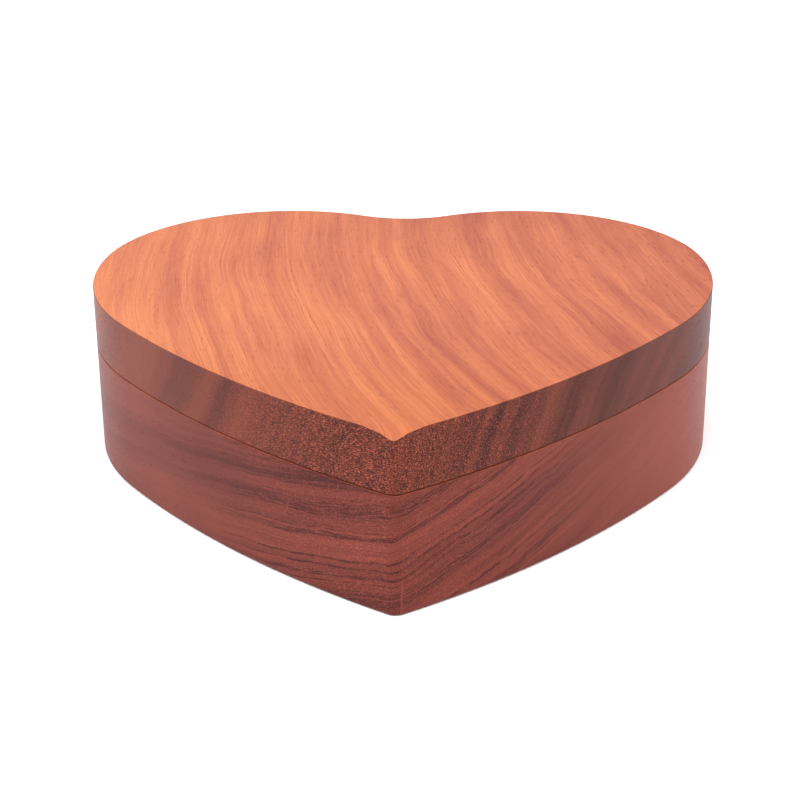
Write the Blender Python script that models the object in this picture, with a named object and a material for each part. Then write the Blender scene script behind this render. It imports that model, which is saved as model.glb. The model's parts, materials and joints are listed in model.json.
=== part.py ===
"""Heart-shaped wooden music box with a wind-up, pinned-cylinder movement.

The box is a heart-shaped base and a lid, each milled from one block of red-brown hardwood and
joined by two brass butt hinges at the back of the lobes. An 18-note movement stands on the
floor of the base, and its winding key hangs in a round pocket in the underside.

Axes: +X to the right, +Y from the tip of the heart to its cleft, +Z up. The origin is the centre
of the bounding box at the bottom face. Units are metres.
"""

import math
from math import cos, pi, radians, sin, sqrt

import bmesh
import bpy
from mathutils import Matrix, Vector

MM = 0.001

# ---------------------------------------------------------------- driving dimensions: the box
TIP_HEADING = radians(32.6)  # of the side at the tip, from the X axis
SIDE_RADIUS, SIDE_TURN = 226.6 * MM, radians(21.3)
FRONT_LOBE_RADIUS, FRONT_LOBE_TURN = 59.8 * MM, radians(44.9)
REAR_LOBE_RADIUS = 43.4 * MM
CLEFT_TURN = radians(25.0)
BASE_TIP_RADIUS = 3.0 * MM
LID_TIP_RADIUS = 1.2 * MM

BASE_HEIGHT = 26.5 * MM
LID_GAP = 0.3 * MM
TOTAL_HEIGHT = 40.0 * MM
WALL = 8.5 * MM
INNER_TIP_RADIUS = 2.5 * MM
FLOOR_Z = 12.5 * MM  # floor of the cavity, which the movement stands on
LID_CEILING_Z = 34.0 * MM
EDGE_BREAK = 0.4 * MM

KEY_POCKET_RADIUS = 25.0 * MM
KEY_POCKET_DEPTH = 9.5 * MM
ARBOR_HOLE_RADIUS = 3.5 * MM
MOUNT_HOLE_RADIUS = 1.5 * MM
MOVEMENT_Y = 6.0 * MM  # the winding arbor's distance behind the origin

PARTITION_X = 18.5 * MM
PARTITION_THICKNESS = 3.0 * MM
PARTITION_BELOW_RIM = 0.5 * MM

MAGNET_RADIUS = 2.5 * MM
MAGNET_HEIGHT = 2.0 * MM
MAGNET_FROM_TIP = 6.4 * MM

HINGE_AXIS_BEHIND = 0.9 * MM  # behind the lobes' rearmost line
KNUCKLE_RADIUS = 1.6 * MM
HINGE_PIN_RADIUS = 0.6 * MM
HINGE_WIDTH = 14.0 * MM
LEAF_THICKNESS = 0.9 * MM
LEAF_DEPTH = 7.0 * MM  # from the hinge axis to the leaf's front edge
KNUCKLE_WIDTH = 4.2 * MM  # of each of the base leaf's two knuckles

CLEARANCE = 0.3 * MM
FIT = 0.1 * MM  # small gap between pressed or seated metal parts
HINGE_GAP = 0.2 * MM  # between a leaf and its mortise, and between knuckles
SCREW_GAP = 0.15 * MM  # between a screw and its hole, on the radius
PAST = 5 * MM  # how far a cutter runs past the face that it opens

# ------------------------------------------------- driving dimensions: the movement
# In the movement's own frame: the origin is on the winding arbor at the bedplate's underside,
# and the cylinder's axis lies along X.
BED_X, BED_Y = (-38.2 * MM, 13.0 * MM), (-22.0 * MM, 17.5 * MM)
BED_TOP = 2.6 * MM
CYLINDER_Z = 10.0 * MM
CYLINDER_X = (-33.2 * MM, -14.0 * MM)
CYLINDER_RADIUS = 6.5 * MM
PIN_CIRCLE_RADIUS = 6.9 * MM
CYLINDER_SHAFT_RADIUS = 0.8 * MM
NOTES = 18

CROWN_MODULE, CROWN_TEETH, CYLINDER_PINION_TEETH = 0.6 * MM, 36, 16
CROWN_FACE = 1.6 * MM
GREAT_MODULE, CYLINDER_GEAR_TEETH, PINION_TEETH = 0.4 * MM, 32, 8
TRAIN_MODULE, FIRST_WHEEL_TEETH = 0.3 * MM, 30
WORM_MODULE, WORM_WHEEL_TEETH = 0.25 * MM, 24
WORM_PITCH_RADIUS = 1.2 * MM
FIRST_ARBOR_ANGLE = radians(15)  # of the first governor arbor, seen from the cylinder
SECOND_ARBOR_ANGLE = radians(-65)  # of the second, seen from the first
GEAR_ARBOR_RADIUS = 0.4 * MM

BARREL_RADIUS = 9.6 * MM
BARREL_WALL = 0.7 * MM
BARREL_Z = (3.4 * MM, 14.2 * MM)
BRIDGE_Z = (15.1 * MM, 16.2 * MM)
POST_Y = 15.4 * MM
COMB_Z = (9.4 * MM, 10.4 * MM)
RATCHET_RADIUS, RATCHET_TEETH = 4.2 * MM, 12
RATCHET_Z = (16.5 * MM, 17.5 * MM)
FAN_RADIUS = 4.5 * MM
FAN_Z = (15.7 * MM, 19.3 * MM)
FRAME_TOP = 20.5 * MM
WORM_X = -30.4 * MM
LEVER_PIVOT = Vector((-19.5 * MM, 17.5 * MM, 15.2 * MM))
CLICK_PIVOT = Vector((-2.6 * MM, 7.6 * MM, 17.0 * MM))
MOUNT_SCREWS = ((9.0 * MM, -18.5 * MM), (9.0 * MM, 14.0 * MM), (-20.5 * MM, -2.0 * MM))
SMALL_THREAD_HOLE = 0.95 * MM  # radius of the tapped holes for the comb and the bridge
SUNK = 1.0 * MM  # how deep a joined shape starts inside the plate that it stands on

# Plane of each wheel along the cylinder's axis
CYLINDER_GEAR_X = (-35.2 * MM, -33.8 * MM)
FIRST_WHEEL_X = (-36.9 * MM, -35.9 * MM)
WORM_WHEEL_X = (WORM_X - 0.6 * MM, WORM_X + 0.6 * MM)
CHEEK_LEFT_X = (-38.2 * MM, -37.4 * MM)
CHEEK_RIGHT_X = (-28.2 * MM, -27.4 * MM)

MATERIALS = {
    # name: colour, roughness, metallic
    "base_wood": ((0.30, 0.085, 0.045), 0.45, 0.0),
    "lid_wood": ((0.62, 0.20, 0.08), 0.42, 0.0),
    "inner_wood": ((0.45, 0.15, 0.07), 0.6, 0.0),
    "hinge_brass": ((0.72, 0.50, 0.22), 0.3, 1.0),
    "steel": ((0.62, 0.62, 0.60), 0.3, 1.0),
    "spring_steel": ((0.30, 0.32, 0.36), 0.35, 1.0),
    "magnet": ((0.70, 0.70, 0.71), 0.2, 1.0),
    "bed_zinc": ((0.75, 0.58, 0.28), 0.35, 1.0),
    "movement_brass": ((0.80, 0.60, 0.28), 0.25, 1.0),
    "gear_nylon": ((0.85, 0.84, 0.78), 0.5, 0.0),
    "key_metal": ((0.78, 0.60, 0.30), 0.28, 1.0),
}


# ---------------------------------------------------------------- scene and mesh helpers
def clear_scene():
    for obj in list(bpy.data.objects):
        bpy.data.objects.remove(obj, do_unlink=True)


def material(name):
    found = bpy.data.materials.get(name)
    if found:
        return found
    colour, roughness, metallic = MATERIALS[name]
    made = bpy.data.materials.new(name)
    made.use_nodes = True
    shader = made.node_tree.nodes["Principled BSDF"]
    shader.inputs["Base Color"].default_value = (*colour, 1)
    shader.inputs["Roughness"].default_value = roughness
    shader.inputs["Metallic"].default_value = metallic
    made.diffuse_color = (*colour, 1)
    return made


def empty(name, location):
    made = bpy.data.objects.new(name, None)
    made.location = location
    bpy.context.collection.objects.link(made)
    return made


def add(name, mesh, finish, parent=None, location=(0, 0, 0), rotation=(0, 0, 0)):
    """One named piece. Round faces are shaded smooth and edges over 35 degrees stay sharp."""
    obj = bpy.data.objects.new(name, mesh)
    obj.location = location
    obj.rotation_euler = rotation
    obj.parent = parent
    bpy.context.collection.objects.link(obj)
    mesh.materials.clear()
    mesh.materials.append(material(finish))
    mesh.shade_smooth()
    mesh.set_sharp_from_angle(angle=radians(35))
    return obj


def mesh_of(points, faces):
    """A closed mesh with its faces turned outwards."""
    mesh = bpy.data.meshes.new("piece")
    mesh.from_pydata([tuple(p) for p in points], [], faces)
    work = bmesh.new()
    work.from_mesh(mesh)
    bmesh.ops.recalc_face_normals(work, faces=work.faces)
    work.to_mesh(mesh)
    work.free()
    return mesh


def loft(sections):
    """A solid through level outlines with equal numbers of points: [(outline, z), ...]."""
    count = len(sections[0][0])
    points = [(x, y, z) for outline, z in sections for x, y in outline]
    faces = [list(range(count)), list(range(len(points) - count, len(points)))]
    for level in range(len(sections) - 1):
        low, high = level * count, (level + 1) * count
        for i in range(count):
            j = (i + 1) % count
            faces.append([low + i, low + j, high + j, high + i])
    return mesh_of(points, faces)


def prism(outline, low, high):
    return loft([(outline, low), (outline, high)])


def block(x, y, z):
    """A box from its ranges along the three axes."""
    return prism([(x[0], y[0]), (x[1], y[0]), (x[1], y[1]), (x[0], y[1])], *z)


def circle(radius, count, centre=(0, 0)):
    turns = [2 * pi * i / count for i in range(count)]
    return [(centre[0] + radius * cos(t), centre[1] + radius * sin(t)) for t in turns]


def rounded_rectangle(x, y, radius, per_corner=4):
    corners = (
        (x[1] - radius, y[0] + radius, -pi / 2),
        (x[1] - radius, y[1] - radius, 0),
        (x[0] + radius, y[1] - radius, pi / 2),
        (x[0] + radius, y[0] + radius, pi),
    )
    outline = []
    for cx, cy, start in corners:
        for i in range(per_corner + 1):
            turn = start + pi / 2 * i / per_corner
            outline.append((cx + radius * cos(turn), cy + radius * sin(turn)))
    return outline


def turned(profile, count):
    """A solid of revolution about Z from an open profile of (radius, z).

    A profile that starts and ends on the axis is closed by its poles, and any other profile is
    a ring whose last point joins its first.
    """
    on_axis = profile[0][0] == 0
    rings, points = [], []
    for radius, z in profile:
        if radius == 0:
            rings.append([len(points)])
            points.append((0, 0, z))
        else:
            rings.append(list(range(len(points), len(points) + count)))
            points += [(x, y, z) for x, y in circle(radius, count)]
    pairs = list(zip(rings, rings[1:])) + ([] if on_axis else [(rings[-1], rings[0])])
    faces = []
    for a, b in pairs:
        for i in range(count):
            j = (i + 1) % count
            face = [a[i % len(a)], a[j % len(a)], b[j % len(b)], b[i % len(b)]]
            faces.append(list(dict.fromkeys(face)))
    return mesh_of(points, faces)


def rod(radius, low, high, count=16):
    return prism(circle(radius, count), low, high)


def moved(mesh, offset=(0, 0, 0), turn=None):
    """The mesh turned by a matrix and then moved."""
    if turn is not None:
        mesh.transform(turn.to_4x4())
    mesh.transform(Matrix.Translation(offset))
    return mesh


ALONG_X = Matrix.Rotation(pi / 2, 3, "Y")  # carries +Z to +X
ALONG_Y = Matrix.Rotation(-pi / 2, 3, "X")  # carries +Z to +Y


def combined(mesh, tool, operation):
    """The Boolean of two closed meshes, as a mesh."""
    target = bpy.data.objects.new("target", mesh)
    other = bpy.data.objects.new("tool", tool)
    for obj in (target, other):
        bpy.context.collection.objects.link(obj)
    modifier = target.modifiers.new("Boolean", "BOOLEAN")
    modifier.operation = operation
    modifier.object = other
    modifier.solver = "EXACT"
    graph = bpy.context.evaluated_depsgraph_get()
    made = bpy.data.meshes.new_from_object(target.evaluated_get(graph))
    for obj in (target, other):
        bpy.data.objects.remove(obj)
    return made


def cut(mesh, *tools):
    for tool in tools:
        mesh = combined(mesh, tool, "DIFFERENCE")
    return mesh


def joined(mesh, *others):
    for other in others:
        mesh = combined(mesh, other, "UNION")
    return mesh


# ---------------------------------------------------------------- the heart's outline
def heart_arcs():
    """Centres of the right half's tangent arcs, with the tip at (0, 0) and the cleft at +Y.

    Returns {"side" | "front" | "rear" | "cleft": (centre, radius, first angle, last angle)}. The
    cleft's arc is hollow, and its radius is what brings the outline back to the middle line.
    """
    heading = TIP_HEADING
    rear_turn = pi + CLEFT_TURN - TIP_HEADING - SIDE_TURN - FRONT_LOBE_TURN
    at, arcs = Vector((0, 0)), {}
    for name, radius, turn in (
        ("side", SIDE_RADIUS, SIDE_TURN),
        ("front", FRONT_LOBE_RADIUS, FRONT_LOBE_TURN),
        ("rear", REAR_LOBE_RADIUS, rear_turn),
    ):
        centre = at + radius * Vector((-sin(heading), cos(heading)))
        first, last = heading - pi / 2, heading + turn - pi / 2
        arcs[name] = (centre, radius, first, last)
        at = centre + radius * Vector((cos(last), sin(last)))
        heading += turn
    cleft_radius = at.x / sin(CLEFT_TURN)
    centre = Vector((0, at.y + cleft_radius * cos(CLEFT_TURN)))
    arcs["cleft"] = (centre, cleft_radius, CLEFT_TURN - pi / 2, -pi / 2)
    return arcs


ARCS = heart_arcs()
LOBE_X = ARCS["rear"][0].x
LENGTH = ARCS["rear"][0].y + REAR_LOBE_RADIUS  # from the tip to the back of the lobes
BACK_REACH = HINGE_AXIS_BEHIND + KNUCKLE_RADIUS


def rounded_tip(inset, tip_radius):
    """The centre of the arc that rounds the tip, between the two sides inset by that much."""
    centre, radius, _, _ = ARCS["side"]
    reach = radius - inset - tip_radius
    return Vector((0, centre.y - sqrt(reach**2 - centre.x**2)))


FRONT = rounded_tip(0, LID_TIP_RADIUS).y - LID_TIP_RADIUS
TIP_Y = -(FRONT + LENGTH + BACK_REACH) / 2
REAR_Y = TIP_Y + LENGTH
HINGE_Y = REAR_Y + HINGE_AXIS_BEHIND
HINGE_Z = BASE_HEIGHT + LID_GAP / 2

# Ten steps put a corner of the front arc at the outline's widest point
ARC_STEPS = {"tip": 3, "side": 9, "front": 10, "rear": 14, "cleft": 4}


def heart(inset, tip_radius):
    """The whole outline, inset all round and with its tip rounded, in the box's frame."""
    side_centre, side_radius, _, side_last = ARCS["side"]
    tip_centre = rounded_tip(inset, tip_radius)
    away = tip_centre - side_centre
    touch = math.atan2(away.y, away.x)
    right = []

    def stretch(name, centre, radius, first, last):
        steps = ARC_STEPS[name]
        for i in range(steps):
            turn = first + (last - first) * i / steps
            right.append(centre + radius * Vector((cos(turn), sin(turn))))

    stretch("tip", tip_centre, tip_radius, -pi / 2, touch)
    stretch("side", side_centre, side_radius - inset, touch, side_last)
    for name in ("front", "rear"):
        centre, radius, first, last = ARCS[name]
        stretch(name, centre, radius - inset, first, last)
    centre, radius, first, last = ARCS["cleft"]
    stretch("cleft", centre, radius + inset, first, last)
    right.append(centre + (radius + inset) * Vector((0, -1)))
    left = [Vector((-p.x, p.y)) for p in right[-2:0:-1]]
    return [(p.x, p.y + TIP_Y) for p in right + left]


# ---------------------------------------------------------------- fasteners
def slot_cutter(width, length, top, depth):
    half = width / 2
    return block((-length, length), (-half, half), (top - depth, top + PAST))


def pan_screw(head, height, shank, length):
    """Head up along +Z from z = 0, shank down, with a slot."""
    profile = [
        (0, height),
        (head * 0.75, height),
        (head, height * 0.55),
        (head, 0),
        (shank, 0),
        (shank, -length),
        (0, -length),
    ]
    return cut(turned(profile, 12), slot_cutter(0.45 * MM, 2 * head, height, 0.45 * height))


def flat_screw(head, shank, length):
    """Countersunk, with its flat head level with z = 0."""
    cone = head - shank
    profile = [(0, 0), (head, 0), (shank, -cone), (shank, -length), (0, -length)]
    return cut(turned(profile, 10), slot_cutter(0.35 * MM, 2 * head, 0, 0.35 * MM))


# ---------------------------------------------------------------- the wooden box
HINGE_XS = {"left": -LOBE_X, "right": LOBE_X}
HINGE_SCREW = {"head": 1.25 * MM, "shank": 0.75 * MM, "length": 5.0 * MM}
HINGE_SCREW_Y = HINGE_Y - 4.6 * MM
HINGE_SCREW_DX = 4.3 * MM
PILOT_DEPTH = 6.5 * MM


def hinge_relief(x, low, high):
    """Cutters for one hinge in a rim: the leaf's mortise and the room round the knuckles."""
    half = HINGE_WIDTH / 2 + HINGE_GAP
    front = HINGE_Y - LEAF_DEPTH - HINGE_GAP
    mortise = block((x - half, x + half), (front, HINGE_Y + PAST), (low, high))
    reach = KNUCKLE_RADIUS + CLEARANCE
    barrel = moved(rod(reach, x - half, x + half, 16), (0, HINGE_Y, HINGE_Z), ALONG_X)
    return mortise, barrel


def pilot_holes(x, low, high):
    radius = HINGE_SCREW["shank"] + SCREW_GAP
    return [
        moved(rod(radius, low, high, 8), (x + side * HINGE_SCREW_DX, HINGE_SCREW_Y, 0))
        for side in (-1, 1)
    ]


def build_base():
    outer = heart(0, BASE_TIP_RADIUS)
    eased = heart(EDGE_BREAK, BASE_TIP_RADIUS - EDGE_BREAK)
    web = KEY_POCKET_DEPTH - PAST, FLOOR_Z + PAST  # a cutter's range through the web
    mesh = loft([(eased, 0), (outer, EDGE_BREAK), (outer, BASE_HEIGHT)])
    mesh = cut(
        mesh,
        prism(heart(WALL, INNER_TIP_RADIUS), FLOOR_Z, BASE_HEIGHT + PAST),
        moved(rod(KEY_POCKET_RADIUS, -PAST, KEY_POCKET_DEPTH, 44), (0, MOVEMENT_Y, 0)),
        moved(rod(ARBOR_HOLE_RADIUS, *web, 16), (0, MOVEMENT_Y, 0)),
        moved(
            rod(MAGNET_RADIUS + FIT, BASE_HEIGHT - MAGNET_HEIGHT - FIT, BASE_HEIGHT + PAST, 20),
            (0, TIP_Y + MAGNET_FROM_TIP, 0),
        ),
    )
    for x, y in MOUNT_SCREWS:
        mesh = cut(mesh, moved(rod(MOUNT_HOLE_RADIUS, *web, 12), (x, MOVEMENT_Y + y, 0)))
    leaf_low = BASE_HEIGHT - LEAF_THICKNESS - FIT
    for x in HINGE_XS.values():
        mesh = cut(mesh, *hinge_relief(x, leaf_low, BASE_HEIGHT + PAST))
        mesh = cut(mesh, *pilot_holes(x, BASE_HEIGHT - PILOT_DEPTH, BASE_HEIGHT))
    add("base", mesh, "base_wood")


def build_lid(parent):
    """Modelled from the hinge axis, where its parent empty stands."""
    low = BASE_HEIGHT + LID_GAP
    outer_low = heart(0, BASE_TIP_RADIUS)
    outer_high = heart(0, LID_TIP_RADIUS)
    eased = heart(EDGE_BREAK, LID_TIP_RADIUS - EDGE_BREAK)
    levels = [(outer_low, low), (outer_high, TOTAL_HEIGHT - EDGE_BREAK), (eased, TOTAL_HEIGHT)]
    mesh = cut(
        loft(levels),
        prism(heart(WALL, INNER_TIP_RADIUS), low - PAST, LID_CEILING_Z),
        moved(
            rod(MAGNET_RADIUS + FIT, low - PAST, low + MAGNET_HEIGHT + FIT, 20),
            (0, TIP_Y + MAGNET_FROM_TIP, 0),
        ),
    )
    leaf_high = low + LEAF_THICKNESS + FIT
    for x in HINGE_XS.values():
        mesh = cut(mesh, *hinge_relief(x, low - PAST, leaf_high))
        mesh = cut(mesh, *pilot_holes(x, low, low + PILOT_DEPTH))
    add("lid", moved(mesh, -parent.location), "lid_wood", parent)


def build_partition():
    """The board that keeps keepsakes away from the movement, cut to the cavity's outline."""
    board = block(
        (PARTITION_X, PARTITION_X + PARTITION_THICKNESS),
        (TIP_Y, REAR_Y),
        (FLOOR_Z + CLEARANCE, BASE_HEIGHT - PARTITION_BELOW_RIM),
    )
    room = prism(heart(WALL + CLEARANCE, INNER_TIP_RADIUS), 0, TOTAL_HEIGHT)
    add("partition", combined(board, room, "INTERSECT"), "inner_wood")


def build_magnets(lid_empty):
    disc = (MAGNET_RADIUS, 0, MAGNET_HEIGHT - FIT, 20)
    at = Vector((0, TIP_Y + MAGNET_FROM_TIP, BASE_HEIGHT - MAGNET_HEIGHT))
    add("base_magnet", rod(*disc), "magnet", location=at)
    at.z = BASE_HEIGHT + LID_GAP + FIT
    add("lid_magnet", moved(rod(*disc), at - lid_empty.location), "magnet", lid_empty)


def leaf(plate_z, knuckles, gaps):
    """A hinge leaf about the hinge axis: a plate towards -Y, wrapped round the pin at each of
    its knuckles' ranges along X and cleared at the other leaf's."""
    half = HINGE_WIDTH / 2
    back_edge = -0.2 * MM  # of the plate, inside the knuckles that wrap it
    mesh = block((-half, half), (-LEAF_DEPTH, back_edge), plate_z)
    clear_reach = KNUCKLE_RADIUS + 0.25 * MM
    beside = 0.15 * MM  # of the other leaf's knuckle, at each end
    for low, high in gaps:
        x = (low - beside, high + beside)
        mesh = cut(mesh, block(x, (-clear_reach, MM), (-clear_reach, clear_reach)))
    for low, high in knuckles:
        mesh = joined(mesh, moved(rod(KNUCKLE_RADIUS, low, high, 16), turn=ALONG_X))
    bore = moved(rod(HINGE_PIN_RADIUS + FIT, -HINGE_WIDTH, HINGE_WIDTH, 10), turn=ALONG_X)
    return cut(mesh, bore)


def countersunk(mesh, face_z, side):
    """The leaf with its two screw holes, whose heads sit in the face on the given side (+1 up)."""
    head = HINGE_SCREW["head"] + SCREW_GAP
    shank = HINGE_SCREW["shank"] + SCREW_GAP
    over = KNUCKLE_RADIUS / 4  # the cutter's reach outside the screwed face
    under = 2 * LEAF_THICKNESS
    profile = [
        (0, over),
        (head, over),
        (head, 0),
        (shank, shank - head),
        (shank, -under),
        (0, -under),
    ]
    turn = None if side > 0 else Matrix.Rotation(pi, 3, "X")
    y = HINGE_SCREW_Y - HINGE_Y
    for dx in (-HINGE_SCREW_DX, HINGE_SCREW_DX):
        mesh = cut(mesh, moved(turned(profile, 10), (dx, y, face_z), turn))
    return mesh


def build_hinges(lid_empty):
    half = HINGE_WIDTH / 2
    outer = [(-half, -half + KNUCKLE_WIDTH), (half - KNUCKLE_WIDTH, half)]
    inner = [(-half + KNUCKLE_WIDTH + HINGE_GAP, half - KNUCKLE_WIDTH - HINGE_GAP)]
    rim = BASE_HEIGHT - HINGE_Z  # the base's rim, from the hinge axis
    screw_size = HINGE_SCREW["head"], HINGE_SCREW["shank"], HINGE_SCREW["length"]
    upside_down = Matrix.Rotation(pi, 3, "X")
    for side, x in HINGE_XS.items():
        axis = Vector((x, HINGE_Y, HINGE_Z))
        low_leaf = leaf((rim - LEAF_THICKNESS, rim), outer, inner)
        high_leaf = leaf((-rim, -rim + LEAF_THICKNESS), inner, outer)
        low_leaf = countersunk(low_leaf, rim, 1)
        high_leaf = countersunk(high_leaf, -rim, -1)
        add(f"hinge_base_leaf_{side}", low_leaf, "hinge_brass", location=axis)
        offset = axis - lid_empty.location
        add(f"hinge_lid_leaf_{side}", high_leaf, "hinge_brass", lid_empty, offset)
        pin = moved(rod(HINGE_PIN_RADIUS, -half, half, 12), turn=ALONG_X)
        add(f"hinge_pin_{side}", pin, "steel", location=axis)
        for number, dx in enumerate((-HINGE_SCREW_DX, HINGE_SCREW_DX), 1):
            at = Vector((x + dx, HINGE_SCREW_Y, BASE_HEIGHT))
            add(f"hinge_base_screw_{side}_{number}", flat_screw(*screw_size), "hinge_brass", location=at)
            at.z = BASE_HEIGHT + LID_GAP
            screw = moved(flat_screw(*screw_size), turn=upside_down)
            offset = at - lid_empty.location
            add(f"hinge_lid_screw_{side}_{number}", screw, "hinge_brass", lid_empty, offset)


# ---------------------------------------------------------------- gear shapes
PRESSURE_ANGLE = radians(20)


def involute(angle):
    return math.tan(angle) - angle


def gear_outline(teeth, module, thickness=0.40, tip=0.85, root=1.2, per_flank=2, phase=0.0):
    """A spur gear's outline with involute flanks and a tooth centred on the phase angle.

    thickness is the tooth's width at the pitch circle, as a share of the pitch: under a half, so
    that meshed teeth run with backlash.
    """
    pitch_radius = module * teeth / 2
    base_radius = pitch_radius * cos(PRESSURE_ANGLE)
    low, high = pitch_radius - root * module, pitch_radius + tip * module
    start = max(low, base_radius)

    def half_angle(radius):
        pressure = math.acos(min(1, base_radius / max(radius, base_radius)))
        return pi / teeth * thickness + involute(PRESSURE_ANGLE) - involute(pressure)

    radii = [low] + [start + (high - start) * i / (per_flank - 1) for i in range(per_flank)]
    if low >= base_radius:
        radii = radii[1:]
    outline = []
    for tooth in range(teeth):
        middle = phase + 2 * pi * tooth / teeth
        flank = [(r, half_angle(r)) for r in radii]
        turns = [(r, middle - a) for r, a in flank] + [(r, middle + a) for r, a in flank[::-1]]
        outline += [(r * cos(t), r * sin(t)) for r, t in turns]
    return outline


def spur_gear(outline, width, bore, twist=0.0):
    """A gear centred on z = 0 with a round bore. twist is its teeth's slant in radians per metre."""

    def turned_by(angle):
        c, s = cos(angle), sin(angle)
        return [(x * c - y * s, x * s + y * c) for x, y in outline]

    half = width / 2
    body = loft([(turned_by(-twist * half), -half), (turned_by(twist * half), half)])
    return cut(body, rod(bore, -width, width, 10))


def crown_ring():
    """The spring barrel's ring of face teeth, pointing up, with a tooth gap at -X."""
    pitch_radius = CROWN_MODULE * CROWN_TEETH / 2
    pitch_z = CYLINDER_Z - CROWN_MODULE * CYLINDER_PINION_TEETH / 2
    inner, outer = pitch_radius - CROWN_FACE / 2, pitch_radius + CROWN_FACE / 2
    rise, depth = 0.75 * CROWN_MODULE, 1.1 * CROWN_MODULE  # of a tooth, from the pitch line
    top, bottom = pitch_z + rise, pitch_z - depth
    pitch_angle = 2 * pi / CROWN_TEETH
    slope = math.tan(PRESSURE_ANGLE)
    half_width = 0.19 * pi * CROWN_MODULE  # of a tooth at the pitch line
    half_top = (half_width - rise * slope) / pitch_radius
    half_root = (half_width + depth * slope) / pitch_radius
    stations = [(-half_root, bottom), (-half_top, top), (half_top, top), (half_root, bottom)]
    points = []
    for tooth in range(CROWN_TEETH):
        middle = pi + (tooth + 0.5) * pitch_angle
        for offset, z in stations:
            c, s = cos(middle + offset), sin(middle + offset)
            for radius, level in (
                (inner, BARREL_Z[0]),
                (outer, BARREL_Z[0]),
                (outer, z),
                (inner, z),
            ):
                points.append((radius * c, radius * s, level))
    count, faces = len(points) // 4, []
    for i in range(count):
        here, there = 4 * i, 4 * ((i + 1) % count)
        for k in range(4):
            m = (k + 1) % 4
            faces.append([here + k, there + k, there + m, here + m])
    return mesh_of(points, faces)


def worm_thread(core, tip, low, high, steps=8):
    """A right-handed thread with a gap facing -Y at mid height. It starts inside the core."""
    lead = pi * WORM_MODULE
    middle = (low + high) / 2
    turns = (high - low) / lead
    count = int(turns * steps)
    inside = core - 0.15 * MM
    half_root, half_tip = 0.15 * MM, 0.07 * MM  # of the thread's width
    profile = ((inside, -half_root), (core, -half_root), (tip, -half_tip), (tip, half_tip))
    profile += ((core, half_root), (inside, half_root))
    points, faces = [], []
    for i in range(count + 1):
        turn = 2 * pi * (i / steps - turns / 2) - pi / 2
        z = middle + lead * (i / steps - turns / 2) + lead / 2
        c, s = cos(turn), sin(turn)
        points += [(radius * c, radius * s, z + rise) for radius, rise in profile]
    size = len(profile)
    for i in range(count):
        for k in range(size):
            m = (k + 1) % size
            here, there = size * i, size * (i + 1)
            faces.append([here + k, there + k, there + m, here + m])
    faces += [list(range(size)), list(range(size * count, size * count + size))]
    return mesh_of(points, faces)


# ---------------------------------------------------------------- places in the train
CYLINDER_AXIS = Vector((0, 0, CYLINDER_Z))
GREAT_DISTANCE = GREAT_MODULE * (CYLINDER_GEAR_TEETH + PINION_TEETH) / 2
TRAIN_DISTANCE = TRAIN_MODULE * (FIRST_WHEEL_TEETH + PINION_TEETH) / 2
FIRST_ARBOR = CYLINDER_AXIS + GREAT_DISTANCE * Vector(
    (0, cos(FIRST_ARBOR_ANGLE), sin(FIRST_ARBOR_ANGLE))
)
SECOND_ARBOR = FIRST_ARBOR + TRAIN_DISTANCE * Vector(
    (0, cos(SECOND_ARBOR_ANGLE), sin(SECOND_ARBOR_ANGLE))
)
WORM_WHEEL_RADIUS = WORM_MODULE * WORM_WHEEL_TEETH / 2
WORM_AXIS = Vector((WORM_X, SECOND_ARBOR.y + WORM_WHEEL_RADIUS + WORM_PITCH_RADIUS, 0))


def facing(angle):
    """The angle, in an outline turned to lie across X, of a direction in the Y-Z plane.

    ALONG_X carries an outline's +X to -Z and its +Y to +Y.
    """
    return math.atan2(cos(angle), -sin(angle))


def across(name, mesh, finish, parent, centre, x):
    """Adds a wheel whose axis lies along X, from a mesh that stands along Z about z = 0."""
    middle = (x[0] + x[1]) / 2
    location = (middle, centre.y, centre.z)
    return add(name, moved(mesh, turn=ALONG_X), finish, parent, location)


# ---------------------------------------------------------------- the movement's frame
COMB_SCREW_XS, COMB_SCREW_Y = (-28.4 * MM, -18.6 * MM), -18.6 * MM
COMB_X = (-32.9 * MM, -14.3 * MM)
COMB_BACK_Y = -21.6 * MM
COMB_TIP_Y = -PIN_CIRCLE_RADIUS - 0.05 * MM
BASS_ROOT_Y, TREBLE_ROOT_Y = -15.6 * MM, -12.2 * MM
TOOTH_SHARE = 0.74  # of the comb's pitch that is steel
FRAME_SCREWS = ((-25.4 * MM, 14.8 * MM), (-34.4 * MM, 14.8 * MM))


def bored_post(x, y, top):
    """A post on the bedplate, and the cutter of the tapped hole in its top."""
    hole_depth = 4 * MM
    post = moved(rod(2.2 * MM, BED_TOP - SUNK, top, 14), (x, y, 0))
    hole = moved(rod(SMALL_THREAD_HOLE, top - hole_depth, top + PAST, 10), (x, y, 0))
    return post, hole


def standing(x, y, top):
    """An upright block that is cast on the bedplate."""
    return block(x, y, (BED_TOP - SUNK, top))


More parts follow.
